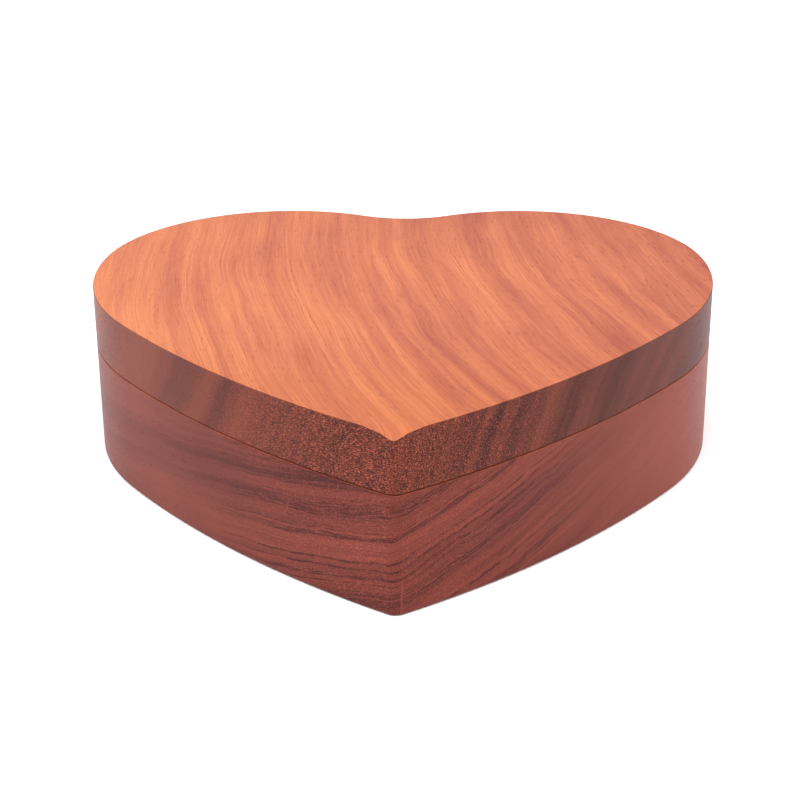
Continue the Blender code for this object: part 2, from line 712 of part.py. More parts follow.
def build_bedplate(parent):
    mesh = prism(rounded_rectangle(BED_X, BED_Y, 3 * MM), 0, BED_TOP)
    bearing_top = CYLINDER_Z + 2.6 * MM
    right_bearing = standing((-13.6 * MM, -12.4 * MM), (-2.6 * MM, 2.6 * MM), bearing_top)
    left_bearing = standing((-36.9 * MM, -35.7 * MM), (-2.4 * MM, 2.4 * MM), bearing_top)
    comb_seat = standing((-33.2 * MM, -13.8 * MM), (-21.8 * MM, -15.4 * MM), COMB_Z[0] - 0.2 * MM)
    lever_lug = standing((-21.3 * MM, -17.7 * MM), (15.9 * MM, 16.9 * MM), 17.0 * MM)
    mesh = joined(mesh, right_bearing, left_bearing, comb_seat, lever_lug)
    shaft_bore = rod(CYLINDER_SHAFT_RADIUS + FIT, BED_X[0] - PAST, -PAST, 16)
    mesh = cut(mesh, moved(shaft_bore, CYLINDER_AXIS, ALONG_X))
    for y in (-POST_Y, POST_Y):
        post, hole = bored_post(0, y, BRIDGE_Z[0] - 0.2 * MM)
        mesh = cut(joined(mesh, post), hole)
    comb_hole_floor = 4.4 * MM
    for x in COMB_SCREW_XS:
        hole = rod(SMALL_THREAD_HOLE, comb_hole_floor, COMB_Z[1] + PAST, 12)
        mesh = cut(mesh, moved(hole, (x, COMB_SCREW_Y, 0)))
    lever_pivot_hole = moved(rod(0.8 * MM, -PAST, PAST, 12), LEVER_PIVOT, ALONG_Y)
    arbor_bearing = rod(2.2 * MM, -PAST, PAST, 20)
    mesh = cut(mesh, lever_pivot_hole, arbor_bearing)
    mount_thread, mount_depth = 1.3 * MM, 2.2 * MM
    for x, y in MOUNT_SCREWS:
        mesh = cut(mesh, moved(rod(mount_thread, -PAST, mount_depth, 12), (x, y, 0)))
    frame_thread, frame_hole_floor = 0.75 * MM, 0.4 * MM
    for x, y in FRAME_SCREWS:
        mesh = cut(mesh, moved(rod(frame_thread, frame_hole_floor, PAST, 10), (x, y, 0)))
    add("bedplate", mesh, "bed_zinc", parent)


def build_comb(parent):
    """The steel comb: one tooth for each note, longer towards the bass on the left."""
    pitch = (COMB_X[1] - COMB_X[0]) / NOTES
    outline = [(COMB_X[1], COMB_BACK_Y), (COMB_X[1], TREBLE_ROOT_Y)]
    gap = pitch * (1 - TOOTH_SHARE)
    for note in range(NOTES):
        right = COMB_X[1] - note * pitch - gap / 2
        left = right - pitch + gap
        root = TREBLE_ROOT_Y + (BASS_ROOT_Y - TREBLE_ROOT_Y) * note / (NOTES - 1)
        outline += [(right, root), (right, COMB_TIP_Y), (left, COMB_TIP_Y), (left, root)]
    outline += [(COMB_X[0], BASS_ROOT_Y), (COMB_X[0], COMB_BACK_Y)]
    mesh = prism(outline, *COMB_Z)
    through = COMB_Z[0] - PAST, COMB_Z[1] + PAST
    for x in COMB_SCREW_XS:
        mesh = cut(mesh, moved(rod(1.15 * MM, *through, 14), (x, COMB_SCREW_Y, 0)))
    add("comb", mesh, "steel", parent)
    for number, x in enumerate(COMB_SCREW_XS, 1):
        screw = pan_screw(2.0 * MM, 1.3 * MM, 0.8 * MM, 5.5 * MM)
        at = (x, COMB_SCREW_Y, COMB_Z[1] + FIT)
        add(f"comb_screw_{number}", screw, "movement_brass", parent, at)


def build_bridge(parent):
    """The bar over the spring barrel that carries the arbor's upper pivot."""
    outline = rounded_rectangle((-4.5 * MM, 4.5 * MM), (-17.5 * MM, 17.5 * MM), 2.5 * MM)
    through = BRIDGE_Z[0] - PAST, BRIDGE_Z[1] + PAST
    mesh = cut(prism(outline, *BRIDGE_Z), rod(1.35 * MM, *through, 20))
    for y in (-POST_Y, POST_Y):
        mesh = cut(mesh, moved(rod(1.05 * MM, *through, 12), (0, y, 0)))
    for x, y in (CLICK_PIVOT.xy, CLICK_SPRING_SCREW.xy):
        mesh = cut(mesh, moved(rod(0.7 * MM, *through, 10), (x, y, 0)))
    add("barrel_bridge", mesh, "bed_zinc", parent)
    for number, y in enumerate((-POST_Y, POST_Y), 1):
        screw = pan_screw(1.9 * MM, 1.2 * MM, 0.8 * MM, 4.4 * MM)
        at = (0, y, BRIDGE_Z[1] + FIT)
        add(f"bridge_screw_{number}", screw, "steel", parent, at)


FOOT_Z = (BED_TOP + 0.2 * MM, 3.8 * MM)


def build_governor_frame(parent):
    back_y = 17.2 * MM
    top_left, top_right = 16.4 * MM, 14.4 * MM
    foot = block((CHEEK_LEFT_X[0], -23.6 * MM), (12.4 * MM, back_y), FOOT_Z)
    left = block(CHEEK_LEFT_X, (5.6 * MM, back_y), (FOOT_Z[0], top_left))
    right = block(CHEEK_RIGHT_X, (7.4 * MM, back_y), (FOOT_Z[0], top_right))
    arm_y = (12.8 * MM, 15.9 * MM)
    riser = block(CHEEK_LEFT_X, arm_y, (top_left - CLEARANCE, FRAME_TOP))
    arm_x = (CHEEK_LEFT_X[0], WORM_X + 1.2 * MM)
    arm = block(arm_x, arm_y, (FRAME_TOP - 0.8 * MM, FRAME_TOP))
    mesh = joined(foot, left, right, riser, arm)
    for arbor in (FIRST_ARBOR, SECOND_ARBOR):
        bore = rod(GEAR_ARBOR_RADIUS + FIT, CHEEK_LEFT_X[0] - PAST, CHEEK_RIGHT_X[1] + PAST, 12)
        mesh = cut(mesh, moved(bore, (0, arbor.y, arbor.z), ALONG_X))
    mesh = cut(mesh, moved(rod(0.45 * MM, 0, FRAME_TOP + PAST, 12), WORM_AXIS))
    for x, y in FRAME_SCREWS:
        mesh = cut(mesh, moved(rod(0.95 * MM, 0, FOOT_Z[1] + MM, 12), (x, y, 0)))
    add("governor_frame", mesh, "bed_zinc", parent)
    for number, (x, y) in enumerate(FRAME_SCREWS, 1):
        screw = pan_screw(1.6 * MM, 1.0 * MM, 0.6 * MM, 3.0 * MM)
        add(f"governor_screw_{number}", screw, "steel", parent, (x, y, FOOT_Z[1] + FIT))


# ---------------------------------------------------------------- winding side
KEY_BORE_RADIUS = 1.5 * MM  # of the thread that the key turns on


def build_barrel(parent):
    low, high = BARREL_Z
    bore, floor = 2.0 * MM, 0.8 * MM
    inner = BARREL_RADIUS - BARREL_WALL
    ring_inner = CROWN_MODULE * CROWN_TEETH / 2 - CROWN_FACE / 2
    flange = ring_inner + 0.3 * MM  # it ends inside the ring, which makes them one body
    cup = [
        (bore, low),
        (flange, low),
        (flange, low + floor),
        (BARREL_RADIUS, low + floor + 0.2 * MM),
        (BARREL_RADIUS, high),
        (inner, high),
        (inner, low + floor),
        (bore, low + floor),
    ]
    add("spring_barrel", joined(turned(cup, 32), crown_ring()), "movement_brass", parent)


def build_mainspring(parent):
    """A flat spiral of spring steel, half wound, drawn as an Archimedean spiral."""
    turns, steps, thickness = 5.5, 16, 0.35 * MM
    inner, outer = 2.5 * MM, 8.3 * MM
    low, high = BARREL_Z[0] + 1.1 * MM, BARREL_Z[1] - 0.7 * MM  # clear of the floor and rim
    count = int(turns * steps)
    inside, outside = [], []
    for i in range(count + 1):
        turn = 2 * pi * i / steps
        radius = inner + (outer - inner) * i / count
        inside.append((radius * cos(turn), radius * sin(turn)))
        radius += thickness
        outside.append((radius * cos(turn), radius * sin(turn)))
    points = [(x, y, z) for z in (low, high) for line in (inside, outside) for x, y in line]
    size = count + 1
    faces = []
    for i in range(count):
        for a, b in ((0, 1), (1, 3), (3, 2), (2, 0)):
            a, b = a * size + i, b * size + i
            faces.append([a, a + 1, b + 1, b])
    for end in (0, count):
        faces.append([end, size + end, 3 * size + end, 2 * size + end])
    add("mainspring", mesh_of(points, faces), "spring_steel", parent)


def build_arbor(parent):
    """The winding arbor: threaded for the key below, and with the ratchet wheel on top."""
    key_end, bearing, spring, ratchet = KEY_BORE_RADIUS, 2.0 * MM, 1.8 * MM, 1.2 * MM
    bottom, top = -9.4 * MM, 18.5 * MM
    eased = 0.3 * MM
    profile = [
        (0, bottom),
        (key_end, bottom),
        (key_end, -3.4 * MM),
        (bearing, -3.4 * MM),
        (bearing, 3.0 * MM),
        (spring, 3.0 * MM),
        (spring, 14.8 * MM),
        (ratchet, 14.8 * MM),
        (ratchet, top - eased),
        (ratchet - eased, top),
        (0, top),
    ]
    add("winding_arbor", turned(profile, 16), "steel", parent)


def build_ratchet(parent):
    """Saw teeth that let the arbor turn clockwise, seen from above."""
    outline, root = [], RATCHET_RADIUS - 0.9 * MM
    for tooth in range(RATCHET_TEETH):
        turn = 2 * pi * tooth / RATCHET_TEETH
        middle = (RATCHET_RADIUS + root) / 2
        # Each tooth's tip, the foot of its steep face, and the middle of its long slope
        for radius, share in ((RATCHET_RADIUS, 0), (root, 0.08), (middle, 0.55)):
            angle = turn + share * 2 * pi / RATCHET_TEETH
            outline.append((radius * cos(angle), radius * sin(angle)))
    bore = rod(1.2 * MM + FIT, RATCHET_Z[0] - PAST, RATCHET_Z[1] + PAST, 20)
    mesh = cut(prism(outline, *RATCHET_Z), bore)
    add("ratchet_wheel", mesh, "steel", parent)


KEY_HUB_RADIUS = 3.0 * MM
KEY_TOP, KEY_BOTTOM = -3.7 * MM, -11.7 * MM
KEY_WING_X, KEY_WING_RADIUS = 9.4 * MM, 3.7 * MM
KEY_EYE_RADIUS, KEY_BORE_FLOOR = 1.5 * MM, -9.6 * MM


def build_key(parent):
    """A cast butterfly key: a hub on the arbor's thread and two eared wings along X."""
    half, half_height = 1.0 * MM, 2.2 * MM  # of the plate between the ears
    wing_z = KEY_BOTTOM + KEY_WING_RADIUS
    wing_range = wing_z - half_height, wing_z + half_height
    parts = [rod(KEY_HUB_RADIUS, KEY_BOTTOM + 1.2 * MM, KEY_TOP, 24)]
    parts.append(block((-KEY_WING_X, KEY_WING_X), (-half, half), wing_range))
    for side in (-1, 1):
        disc = moved(rod(KEY_WING_RADIUS, -half, half, 24), turn=ALONG_Y)
        parts.append(moved(disc, (side * KEY_WING_X, 0, wing_z)))
    mesh = joined(*parts)
    for side in (-1, 1):
        eye = moved(rod(KEY_EYE_RADIUS, -PAST, PAST, 16), turn=ALONG_Y)
        mesh = cut(mesh, moved(eye, (side * (KEY_WING_X + 0.3 * MM), 0, wing_z)))
    mesh = cut(mesh, rod(KEY_BORE_RADIUS + FIT, KEY_BORE_FLOOR, PAST, 20))
    add("winding_key", mesh, "key_metal", parent)


CLICK_TIP = Vector((1.0 * MM, 4.3 * MM))
CLICK_SPRING_SCREW = Vector((2.7 * MM, 11.6 * MM, 0))


def build_click(parent):
    """The pawl that bears on the ratchet wheel, its screw, and its leaf spring."""
    reach = CLICK_TIP - CLICK_PIVOT.xy
    along = reach.normalized()
    side = Vector((-along.y, along.x))
    hub = 1.5 * MM
    outline = [
        reach,
        reach - along * 1.0 * MM - side * 0.75 * MM,
        -side * hub,
        -along * 0.8 * MM - side * 1.3 * MM,
        -along * hub,
        -along * 0.8 * MM + side * 1.3 * MM,
        side * hub,
        reach - along * 0.6 * MM + side * 0.5 * MM,
    ]
    mesh = prism([tuple(p) for p in outline], -0.5 * MM, 0.5 * MM)
    mesh = cut(mesh, rod(0.75 * MM, -2 * MM, 2 * MM, 12))
    holder = empty("click_pivot", CLICK_PIVOT)
    holder.parent = parent
    add("click", mesh, "steel", holder)
    head_z = RATCHET_Z[1] + FIT
    screw = pan_screw(1.3 * MM, 0.8 * MM, 0.6 * MM, head_z - BRIDGE_Z[0])
    add("click_screw", screw, "steel", parent, (CLICK_PIVOT.x, CLICK_PIVOT.y, head_z))

    pad = moved(rod(1.5 * MM, BRIDGE_Z[1] + FIT, BRIDGE_Z[1] + 0.6 * MM, 16), CLICK_SPRING_SCREW)
    start, bend = CLICK_SPRING_SCREW.xy + Vector((1.35 * MM, 0)), Vector((3.9 * MM, 8.2 * MM))
    end = CLICK_PIVOT.xy + reach * 0.55 + side * 1.45 * MM
    line = [start.lerp(bend, t).lerp(bend.lerp(end, t), t) for t in (0, 0.2, 0.4, 0.6, 0.8, 1)]
    half_width = 0.125 * MM
    edges = []
    for i, point in enumerate(line):
        ahead = line[min(i + 1, len(line) - 1)] - line[max(i - 1, 0)]
        across_line = Vector((-ahead.y, ahead.x)).normalized() * half_width
        edges.append((point + across_line, point - across_line))
    strip = [tuple(a) for a, _ in edges] + [tuple(b) for _, b in reversed(edges)]
    blade = prism(strip, BRIDGE_Z[1] + 0.3 * MM, RATCHET_Z[1] - 0.1 * MM)
    hole = rod(0.7 * MM, BRIDGE_Z[1] - PAST, BRIDGE_Z[1] + PAST, 10)
    spring = cut(joined(pad, blade), moved(hole, CLICK_SPRING_SCREW))
    add("click_spring", spring, "spring_steel", parent)
    screw = pan_screw(1.2 * MM, 0.7 * MM, 0.55 * MM, 1.6 * MM)
    at = (CLICK_SPRING_SCREW.x, CLICK_SPRING_SCREW.y, BRIDGE_Z[1] + 0.7 * MM)
    add("click_spring_screw", screw, "steel", parent, at)


# ---------------------------------------------------------------- playing side
def build_cylinder(parent):
    low, high = CYLINDER_X
    middle = (low + high) / 2
    half = (high - low) / 2
    bore = CYLINDER_SHAFT_RADIUS + FIT
    hub, rim, dish = 2.4 * MM, CYLINDER_RADIUS - 0.6 * MM, 1.0 * MM
    profile = [
        (bore, -half),
        (hub, -half),
        (hub, -half + dish),
        (rim, -half + dish),
        (rim, -half),
        (CYLINDER_RADIUS, -half),
        (CYLINDER_RADIUS, half),
        (rim, half),
        (rim, half - dish),
        (hub, half - dish),
        (hub, half),
        (bore, half),
    ]
    at = (middle, 0, CYLINDER_Z)
    add("pinned_cylinder", moved(turned(profile, 32), turn=ALONG_X), "movement_brass", parent, at)
    shaft_x = (-37.2 * MM, -9.9 * MM)
    shaft = moved(rod(CYLINDER_SHAFT_RADIUS, *shaft_x, 16), turn=ALONG_X)
    add("cylinder_shaft", shaft, "steel", parent, CYLINDER_AXIS)

    outline = gear_outline(CYLINDER_GEAR_TEETH, GREAT_MODULE, phase=facing(FIRST_ARBOR_ANGLE))
    width = CYLINDER_GEAR_X[1] - CYLINDER_GEAR_X[0]
    gear = spur_gear(outline, width, bore)
    across("cylinder_gear", gear, "gear_nylon", parent, CYLINDER_AXIS, CYLINDER_GEAR_X)

    outline = gear_outline(CYLINDER_PINION_TEETH, CROWN_MODULE, thickness=0.36, phase=facing(-pi / 2))
    pitch_radius = CROWN_MODULE * CROWN_TEETH / 2
    x = (-pitch_radius - CROWN_FACE / 2, -pitch_radius + CROWN_FACE / 2)
    pinion = spur_gear(outline, CROWN_FACE, bore)
    across("cylinder_pinion", pinion, "gear_nylon", parent, CYLINDER_AXIS, x)


def build_governor_arbor(name, parent, axis):
    low, high = CHEEK_LEFT_X[0], CHEEK_RIGHT_X[1]
    arbor = moved(rod(GEAR_ARBOR_RADIUS, low, high, 12), turn=ALONG_X)
    add(name, arbor, "steel", parent, axis)


def build_first_arbor(parent):
    bore = GEAR_ARBOR_RADIUS + 0.05 * MM
    build_governor_arbor("first_governor_arbor", parent, FIRST_ARBOR)
    phase = facing(FIRST_ARBOR_ANGLE + pi) + pi / PINION_TEETH
    outline = gear_outline(PINION_TEETH, GREAT_MODULE, thickness=0.34, phase=phase)
    width = CYLINDER_GEAR_X[1] - CYLINDER_GEAR_X[0]
    pinion = spur_gear(outline, width, bore)
    across("first_governor_pinion", pinion, "movement_brass", parent, FIRST_ARBOR, CYLINDER_GEAR_X)
    outline = gear_outline(FIRST_WHEEL_TEETH, TRAIN_MODULE, phase=facing(SECOND_ARBOR_ANGLE))
    wheel = spur_gear(outline, FIRST_WHEEL_X[1] - FIRST_WHEEL_X[0], bore)
    across("first_governor_wheel", wheel, "movement_brass", parent, FIRST_ARBOR, FIRST_WHEEL_X)


def build_second_arbor(parent):
    bore = GEAR_ARBOR_RADIUS + 0.05 * MM
    build_governor_arbor("second_governor_arbor", parent, SECOND_ARBOR)
    phase = facing(SECOND_ARBOR_ANGLE + pi) + pi / PINION_TEETH
    outline = gear_outline(PINION_TEETH, TRAIN_MODULE, thickness=0.34, phase=phase)
    pinion = spur_gear(outline, FIRST_WHEEL_X[1] - FIRST_WHEEL_X[0], bore)
    across("second_governor_pinion", pinion, "movement_brass", parent, SECOND_ARBOR, FIRST_WHEEL_X)
    # A tooth faces the worm. The teeth slant with its thread, which rises towards +X here.
    slant = WORM_MODULE / 2 / WORM_PITCH_RADIUS / WORM_WHEEL_RADIUS
    outline = gear_outline(WORM_WHEEL_TEETH, WORM_MODULE, thickness=0.32, tip=0.75, phase=facing(0))
    wheel = spur_gear(outline, WORM_WHEEL_X[1] - WORM_WHEEL_X[0], bore, twist=slant)
    across("worm_wheel", wheel, "gear_nylon", parent, SECOND_ARBOR, WORM_WHEEL_X)


def build_worm_and_fan(parent):
    half_length = 2.2 * MM
    low, high = SECOND_ARBOR.z - half_length, SECOND_ARBOR.z + half_length
    core, tip = 0.85 * MM, WORM_PITCH_RADIUS + 0.2 * MM
    pivot, neck = 0.35 * MM, 0.5 * MM
    bottom, top = 3.0 * MM, FRAME_TOP - FIT
    shaft = turned(
        [
            (0, bottom),
            (pivot, bottom),
            (pivot, low - 0.3 * MM),
            (core, low - 0.3 * MM),
            (core, high + 0.6 * MM),
            (neck, high + 0.8 * MM),
            (neck, top - 0.9 * MM),
            (pivot, top - 0.8 * MM),
            (pivot, top),
            (0, top),
        ],
        12,
    )
    mesh = joined(shaft, worm_thread(core, tip, low, high))
    add("worm_shaft", mesh, "steel", parent, WORM_AXIS)
    half_blade = 0.15 * MM
    hub = rod(1.0 * MM, *FAN_Z, 16)
    blades = block((-FAN_RADIUS, FAN_RADIUS), (-half_blade, half_blade), FAN_Z)
    fan = cut(joined(hub, blades), rod(neck + 0.05 * MM, FAN_Z[0] - PAST, FAN_Z[1] + PAST, 12))
    add("governor_fan", fan, "movement_brass", parent, WORM_AXIS)


def build_stop_lever(parent):
    """A rocker: the closed lid holds its long arm down, and its finger stops the fan."""
    finger, contact = Vector((-7.1 * MM, 0.9 * MM)), Vector((9.0 * MM, 6.0 * MM))
    half = 0.8 * MM
    outline = [
        (finger.x, finger.y - half),
        (-0.6 * MM, -1.6 * MM),
        (1.2 * MM, -1.5 * MM),
        (contact.x + 0.8 * MM, contact.y - 2.2 * MM),
        (contact.x + 0.8 * MM, contact.y - 0.3 * MM),
        (contact.x + 0.4 * MM, contact.y),
        (contact.x - 0.5 * MM, contact.y),
        (contact.x - 0.8 * MM, contact.y - 0.5 * MM),
        (contact.x - 0.8 * MM, contact.y - 1.6 * MM),
        (0.9 * MM, 1.7 * MM),
        (-1.0 * MM, 1.6 * MM),
        (finger.x, finger.y + half),
    ]
    # ALONG_Y carries an outline's +Y to -Z, so it is drawn with its height reversed.
    mesh = prism([(x, -z) for x, z in outline][::-1], -0.3 * MM, 0.3 * MM)
    mesh = cut(mesh, rod(0.75 * MM, -2 * MM, 2 * MM, 12))
    holder = empty("stop_lever_pivot", LEVER_PIVOT)
    holder.parent = parent
    add("stop_lever", moved(mesh, turn=ALONG_Y), "spring_steel", holder)
    screw = moved(pan_screw(1.5 * MM, 0.9 * MM, 0.65 * MM, 1.9 * MM), turn=ALONG_Y)
    at = LEVER_PIVOT + Vector((0, 0.4 * MM, 0))
    add("stop_lever_screw", screw, "steel", parent, at)


def build_mounting_screws(parent):
    """They hold the movement from below, through the web over the key pocket."""
    web = FLOOR_Z - KEY_POCKET_DEPTH
    into_plate = 2.0 * MM
    for number, (x, y) in enumerate(MOUNT_SCREWS, 1):
        screw = pan_screw(2.5 * MM, 1.6 * MM, 1.1 * MM, web + into_plate)
        screw = moved(screw, turn=Matrix.Rotation(pi, 3, "X"))
        add(f"mounting_screw_{number}", screw, "steel", parent, (x, y, -web - FIT))


# ---------------------------------------------------------------- the whole
def build():
    clear_scene()
    lid_empty = empty("lid_hinge", (0, HINGE_Y, HINGE_Z))
    movement = empty("movement", (0, MOVEMENT_Y, FLOOR_Z + FIT))
    build_base()
    build_lid(lid_empty)
    build_partition()
    build_magnets(lid_empty)
    build_hinges(lid_empty)
    build_bedplate(movement)
    build_comb(movement)
    build_bridge(movement)
    build_governor_frame(movement)
    build_barrel(movement)
    build_mainspring(movement)
    build_arbor(movement)
    build_ratchet(movement)
    build_key(movement)
    build_click(movement)
    build_cylinder(movement)
    build_first_arbor(movement)
    build_second_arbor(movement)
    build_worm_and_fan(movement)
    build_stop_lever(movement)
    build_mounting_screws(movement)


build()
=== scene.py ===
"""The looks of the heart-shaped wooden music box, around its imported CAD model.

The base and the lid are remade as fine solids with eased edges and a solid wood texture, and
every other piece gets its own procedural material. Everything is in metres.
"""

import json
from math import acos, atan2, cos, pi, radians, sin, sqrt, tan
from random import Random

import bmesh
import bpy
from mathutils import Matrix, Vector

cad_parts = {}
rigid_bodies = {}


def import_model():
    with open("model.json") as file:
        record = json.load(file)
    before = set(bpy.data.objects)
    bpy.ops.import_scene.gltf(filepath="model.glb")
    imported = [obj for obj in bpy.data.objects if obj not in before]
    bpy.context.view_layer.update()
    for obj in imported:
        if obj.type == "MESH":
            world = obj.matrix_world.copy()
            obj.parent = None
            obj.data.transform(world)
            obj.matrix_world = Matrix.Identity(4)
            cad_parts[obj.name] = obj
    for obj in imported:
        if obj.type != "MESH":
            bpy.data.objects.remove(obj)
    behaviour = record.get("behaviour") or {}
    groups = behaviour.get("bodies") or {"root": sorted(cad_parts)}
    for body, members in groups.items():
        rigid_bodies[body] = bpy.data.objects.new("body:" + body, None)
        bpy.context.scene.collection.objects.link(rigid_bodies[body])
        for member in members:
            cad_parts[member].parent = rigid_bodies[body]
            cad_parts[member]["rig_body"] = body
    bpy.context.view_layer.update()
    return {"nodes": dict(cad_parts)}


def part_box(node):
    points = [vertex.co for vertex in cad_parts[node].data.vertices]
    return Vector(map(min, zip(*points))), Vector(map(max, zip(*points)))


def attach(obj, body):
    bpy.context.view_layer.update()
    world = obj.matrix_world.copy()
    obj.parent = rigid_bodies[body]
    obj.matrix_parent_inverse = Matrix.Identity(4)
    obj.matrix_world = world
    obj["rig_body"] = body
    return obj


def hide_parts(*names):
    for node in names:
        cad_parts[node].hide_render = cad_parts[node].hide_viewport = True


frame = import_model()

MM = 0.001

# ---------- the heart, as in the CAD
TIP_HEADING = radians(32.6)
SIDE_RADIUS, SIDE_TURN = 226.6 * MM, radians(21.3)
FRONT_LOBE_RADIUS, FRONT_LOBE_TURN = 59.8 * MM, radians(44.9)
REAR_LOBE_RADIUS = 43.4 * MM
CLEFT_TURN = radians(25.0)
BASE_TIP_RADIUS = 3.0 * MM
LID_TIP_RADIUS = 1.2 * MM
WALL = 8.5 * MM
INNER_TIP_RADIUS = 2.5 * MM
KNUCKLE_RADIUS = 1.6 * MM
HINGE_AXIS_BEHIND = 0.9 * MM
LEAF_THICKNESS = 0.9 * MM
LEAF_DEPTH = 7.0 * MM
LID_GAP = 0.3 * MM
EDGE_BREAK, SEAM_BREAK, CAVITY_BREAK = 0.4 * MM, 0.2 * MM, 0.3 * MM
KEY_POCKET_RADIUS = 25.0 * MM
KEY_POCKET_DEPTH = 9.5 * MM
KEY_HOLE_RADIUS = 3.5 * MM
MOUNTING_HOLE_RADIUS = 1.5 * MM
MAGNET_HOLE_RADIUS = 2.6 * MM

BASE_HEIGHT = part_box("base")[1][2]
TOTAL_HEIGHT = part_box("lid")[1][2]
FLOOR_Z = 12.5 * MM
LID_CEILING_Z = 34.0 * MM


def heart_arcs():
    """The right half's tangent arcs, with the sharp tip at (0, 0) and the cleft at +Y."""
    heading = TIP_HEADING
    rear_turn = pi + CLEFT_TURN - TIP_HEADING - SIDE_TURN - FRONT_LOBE_TURN
    at, arcs = Vector((0, 0)), {}
    for name, radius, turn in (
        ("side", SIDE_RADIUS, SIDE_TURN),
        ("front", FRONT_LOBE_RADIUS, FRONT_LOBE_TURN),
        ("rear", REAR_LOBE_RADIUS, rear_turn),
    ):
        centre = at + radius * Vector((-sin(heading), cos(heading)))
        first, last = heading - pi / 2, heading + turn - pi / 2
        arcs[name] = (centre, radius, first, last)
        at = centre + radius * Vector((cos(last), sin(last)))
        heading += turn
    cleft_radius = at.x / sin(CLEFT_TURN)
    centre = Vector((0, at.y + cleft_radius * cos(CLEFT_TURN)))
    arcs["cleft"] = (centre, cleft_radius, CLEFT_TURN - pi / 2, -pi / 2)
    return arcs


ARCS = heart_arcs()
LENGTH = ARCS["rear"][0].y + REAR_LOBE_RADIUS
LOBE_X = ARCS["rear"][0].x
BACK_REACH = HINGE_AXIS_BEHIND + KNUCKLE_RADIUS


def rounded_tip(inset, tip_radius):
    """The centre of the arc that rounds the tip, between the two sides inset by that much."""
    centre, radius, _, _ = ARCS["side"]
    reach = radius - inset - tip_radius
    return Vector((0, centre.y - sqrt(reach**2 - centre.x**2)))


FRONT = rounded_tip(0, LID_TIP_RADIUS).y - LID_TIP_RADIUS
TIP_Y = -(FRONT + LENGTH + BACK_REACH) / 2
REAR_Y = TIP_Y + LENGTH
HINGE_Y = REAR_Y + HINGE_AXIS_BEHIND
HINGE_Z = BASE_HEIGHT + LID_GAP / 2
ARC_STEPS = {"tip": 8, "side": 40, "front": 40, "rear": 70, "cleft": 20}


def heart(inset, tip_radius):
    """The whole outline, inset all round and with its tip rounded, in the box's frame."""
    side_centre, side_radius, _, side_last = ARCS["side"]
    tip_centre = rounded_tip(inset, tip_radius)
    away = tip_centre - side_centre
    touch = atan2(away.y, away.x)
    right = []

    def stretch(name, centre, radius, first, last):
        steps = ARC_STEPS[name]
        for i in range(steps):
            turn = first + (last - first) * i / steps
            right.append(centre + radius * Vector((cos(turn), sin(turn))))

    stretch("tip", tip_centre, tip_radius, -pi / 2, touch)
    stretch("side", side_centre, side_radius - inset, touch, side_last)
    for name in ("front", "rear"):
        centre, radius, first, last = ARCS[name]
        stretch(name, centre, radius - inset, first, last)
    centre, radius, first, last = ARCS["cleft"]
    stretch("cleft", centre, radius + inset, first, last)
    right.append(centre + (radius + inset) * Vector((0, -1)))
    left = [Vector((-p.x, p.y)) for p in right[-2:0:-1]]
    return [(p.x, p.y + TIP_Y) for p in right + left]


def centre_of(node):
    low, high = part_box(node)
    return (Vector(low) + Vector(high)) / 2


def span(node, axis):
    """The CAD node's (low, high) along one axis."""
    return tuple(corner[axis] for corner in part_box(node))


# The movement's origin: the winding arbor's axis, at the underside of the bedplate
MOVEMENT = Vector((*centre_of("winding_arbor").xy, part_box("bedplate")[0][2]))


def half_width(node):
    """Half of the CAD node's width."""
    left, right = span(node, 0)
    return (right - left) / 2


def levels_of(node):
    """The CAD node's (low, high) above the movement's origin."""
    return tuple(level - MOVEMENT.z for level in span(node, 2))


# ---------- meshes
def placed(name, data):
    """A new object in the scene."""
    obj = bpy.data.objects.new(name, data)
    bpy.context.collection.objects.link(obj)
    return obj


def link(name, mesh, body, replaced=()):
    """A new piece that rides on a body and may stand for CAD nodes."""
    obj = placed(name, mesh)
    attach(obj, body)
    if replaced:
        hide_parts(*replaced)
    return obj


def mesh_of(points, faces):
    mesh = bpy.data.meshes.new("piece")
    mesh.from_pydata([tuple(p) for p in points], [], faces)
    work = bmesh.new()
    work.from_mesh(mesh)
    bmesh.ops.recalc_face_normals(work, faces=work.faces)
    work.to_mesh(mesh)
    work.free()
    return mesh


def skin(sections, closed=False):
    """A solid over sections of equally many (x, y, z) points; it is capped unless it is closed."""
    size, count = len(sections[0]), len(sections)
    points = [point for section in sections for point in section]
    faces = [] if closed else [list(range(size)), list(range(len(points) - size, len(points)))]
    for level in range(count if closed else count - 1):
        low, high = level * size, (level + 1) % count * size
        for i in range(size):
            j = (i + 1) % size
            faces.append([low + i, low + j, high + j, high + i])
    return mesh_of(points, faces)


def loft(sections):
    """A solid through level outlines with equal numbers of points: [(outline, z), ...]."""
    return skin([[(x, y, z) for x, y in outline] for outline, z in sections])


def upright(corners, turn):
    """A section from (radius, z) corners, in the plane at that turn about Z."""
    return [(radius * cos(turn), radius * sin(turn), z) for radius, z in corners]


def prism(outline, low, high):
    return loft([(outline, low), (outline, high)])


def block(x, y, z):
    return prism([(x[0], y[0]), (x[1], y[0]), (x[1], y[1]), (x[0], y[1])], *z)


def circle(radius, count):
    turns = [2 * pi * i / count for i in range(count)]
    return [(radius * cos(t), radius * sin(t)) for t in turns]


def rod(radius, low, high, count=48):
    return prism(circle(radius, count), low, high)


